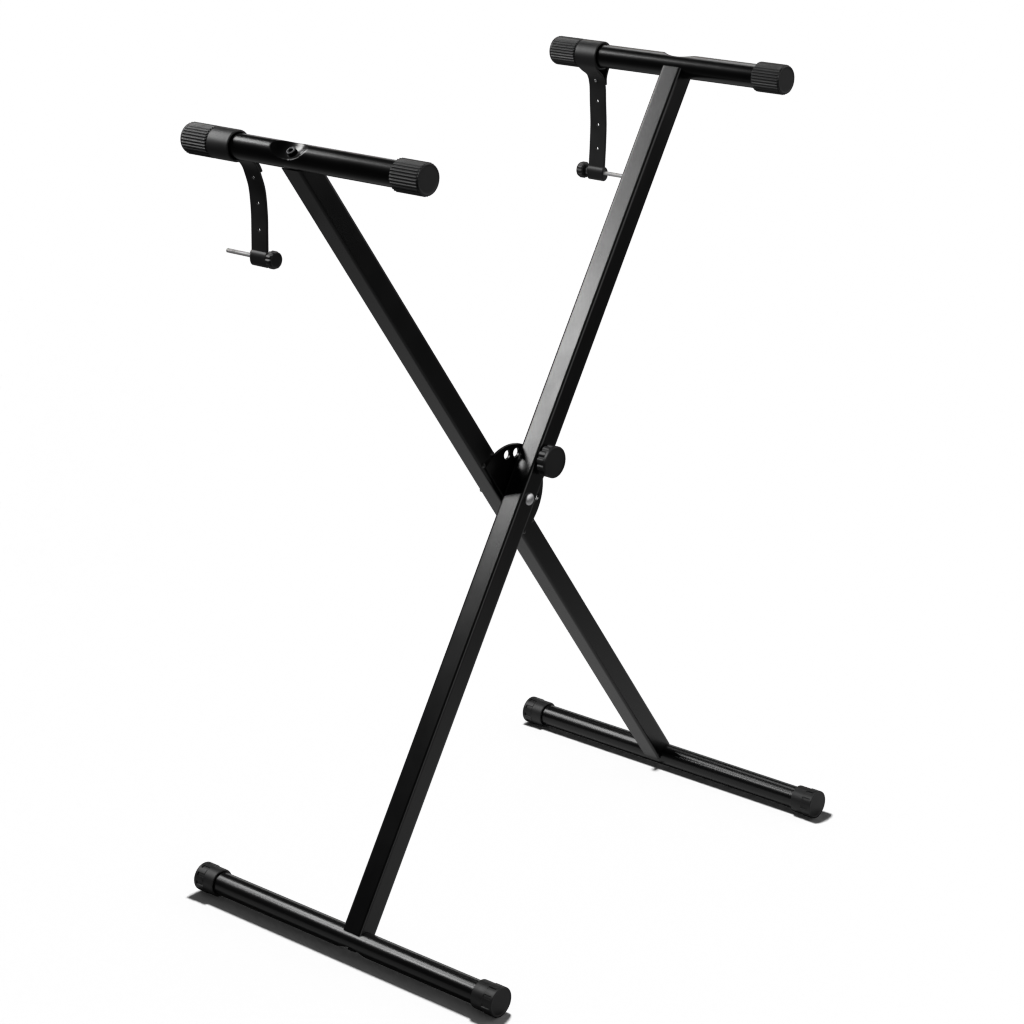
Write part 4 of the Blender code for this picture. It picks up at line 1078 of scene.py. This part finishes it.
def linked(name, pieces, state="INCLUDE"):
    """A set of pieces that a lamp is limited to, or that it leaves out."""
    group = bpy.data.collections.new(name)
    for piece in pieces:
        group.objects.link(piece)
    for member in group.collection_objects:
        member.light_linking.link_state = state
    return group


floor = bpy.data.objects["paper_floor"]
top_tubes = [bpy.data.objects[side + "_top_tube"] for side in ("left", "right")]
all_but_floor = linked("all_but_floor", [floor], "EXCLUDE")
below_bars = linked("all_but_floor_and_top_bars", [floor] + top_tubes, "EXCLUDE")
floor_alone = linked("floor_alone", [floor])
shading_parts = ("foot_tube", "foot_screw", "near_foot_cap", "far_foot_cap")
foot_pieces = linked("foot_pieces", [bpy.data.objects[f"{side}_{part}"] for side in ("left", "right")
                                     for part in shading_parts])
back_left = add_softbox("back_left", (-0.35, 1.42, 1.78), (0, 0, 0.45), width=0.7, height=0.6, power=13)
side_left = add_softbox("side_left", (-1.05, 1.3, 1.72), (0, 0, 0.6), width=0.5, height=0.45, power=11)
back_right = add_softbox("back_right", (1.12, 0.73, 1.83), (0, 0, 0.45), width=0.7, height=0.7, power=4)
for lamp in (back_left, back_right):
    lamp.light_linking.receiver_collection = all_but_floor
side_left.light_linking.receiver_collection = below_bars
pool = add_softbox("floor_pool", (0.2, 0.15, 0.9), (0.2, 0.15, 0), width=0.12, height=0.12, power=10)
pool.light_linking.receiver_collection = floor_alone
pool.light_linking.blocker_collection = foot_pieces


# Camera
# Set to the photograph's view, with its slight roll.
CAMERA_PLACE = (-1.9930, -1.7367, 1.3827)
CAMERA_SENSOR = 36.0
CAMERA_LENS = 92.78
CAMERA_YAW = math.radians(48.98)
CAMERA_PITCH = math.radians(-20.27)
CAMERA_ROLL = math.radians(-1.34)


def add_camera():
    level = math.cos(CAMERA_PITCH)
    forward = Vector((math.sin(CAMERA_YAW) * level, math.cos(CAMERA_YAW) * level, math.sin(CAMERA_PITCH)))
    right = forward.cross(Vector((0, 0, 1))).normalized()
    up = right.cross(forward)
    turned_right = right * math.cos(CAMERA_ROLL) + up * math.sin(CAMERA_ROLL)
    turned_up = up * math.cos(CAMERA_ROLL) - right * math.sin(CAMERA_ROLL)
    data = bpy.data.cameras.new("camera")
    data.sensor_width = CAMERA_SENSOR
    data.lens = CAMERA_LENS
    camera = bpy.data.objects.new("camera", data)
    bpy.context.scene.collection.objects.link(camera)
    turn = Matrix((turned_right, turned_up, -forward)).transposed()
    camera.matrix_world = Matrix.Translation(CAMERA_PLACE) @ turn.to_4x4()
    bpy.context.scene.camera = camera


add_camera()
bpy.context.scene.view_settings.view_transform = "Standard"
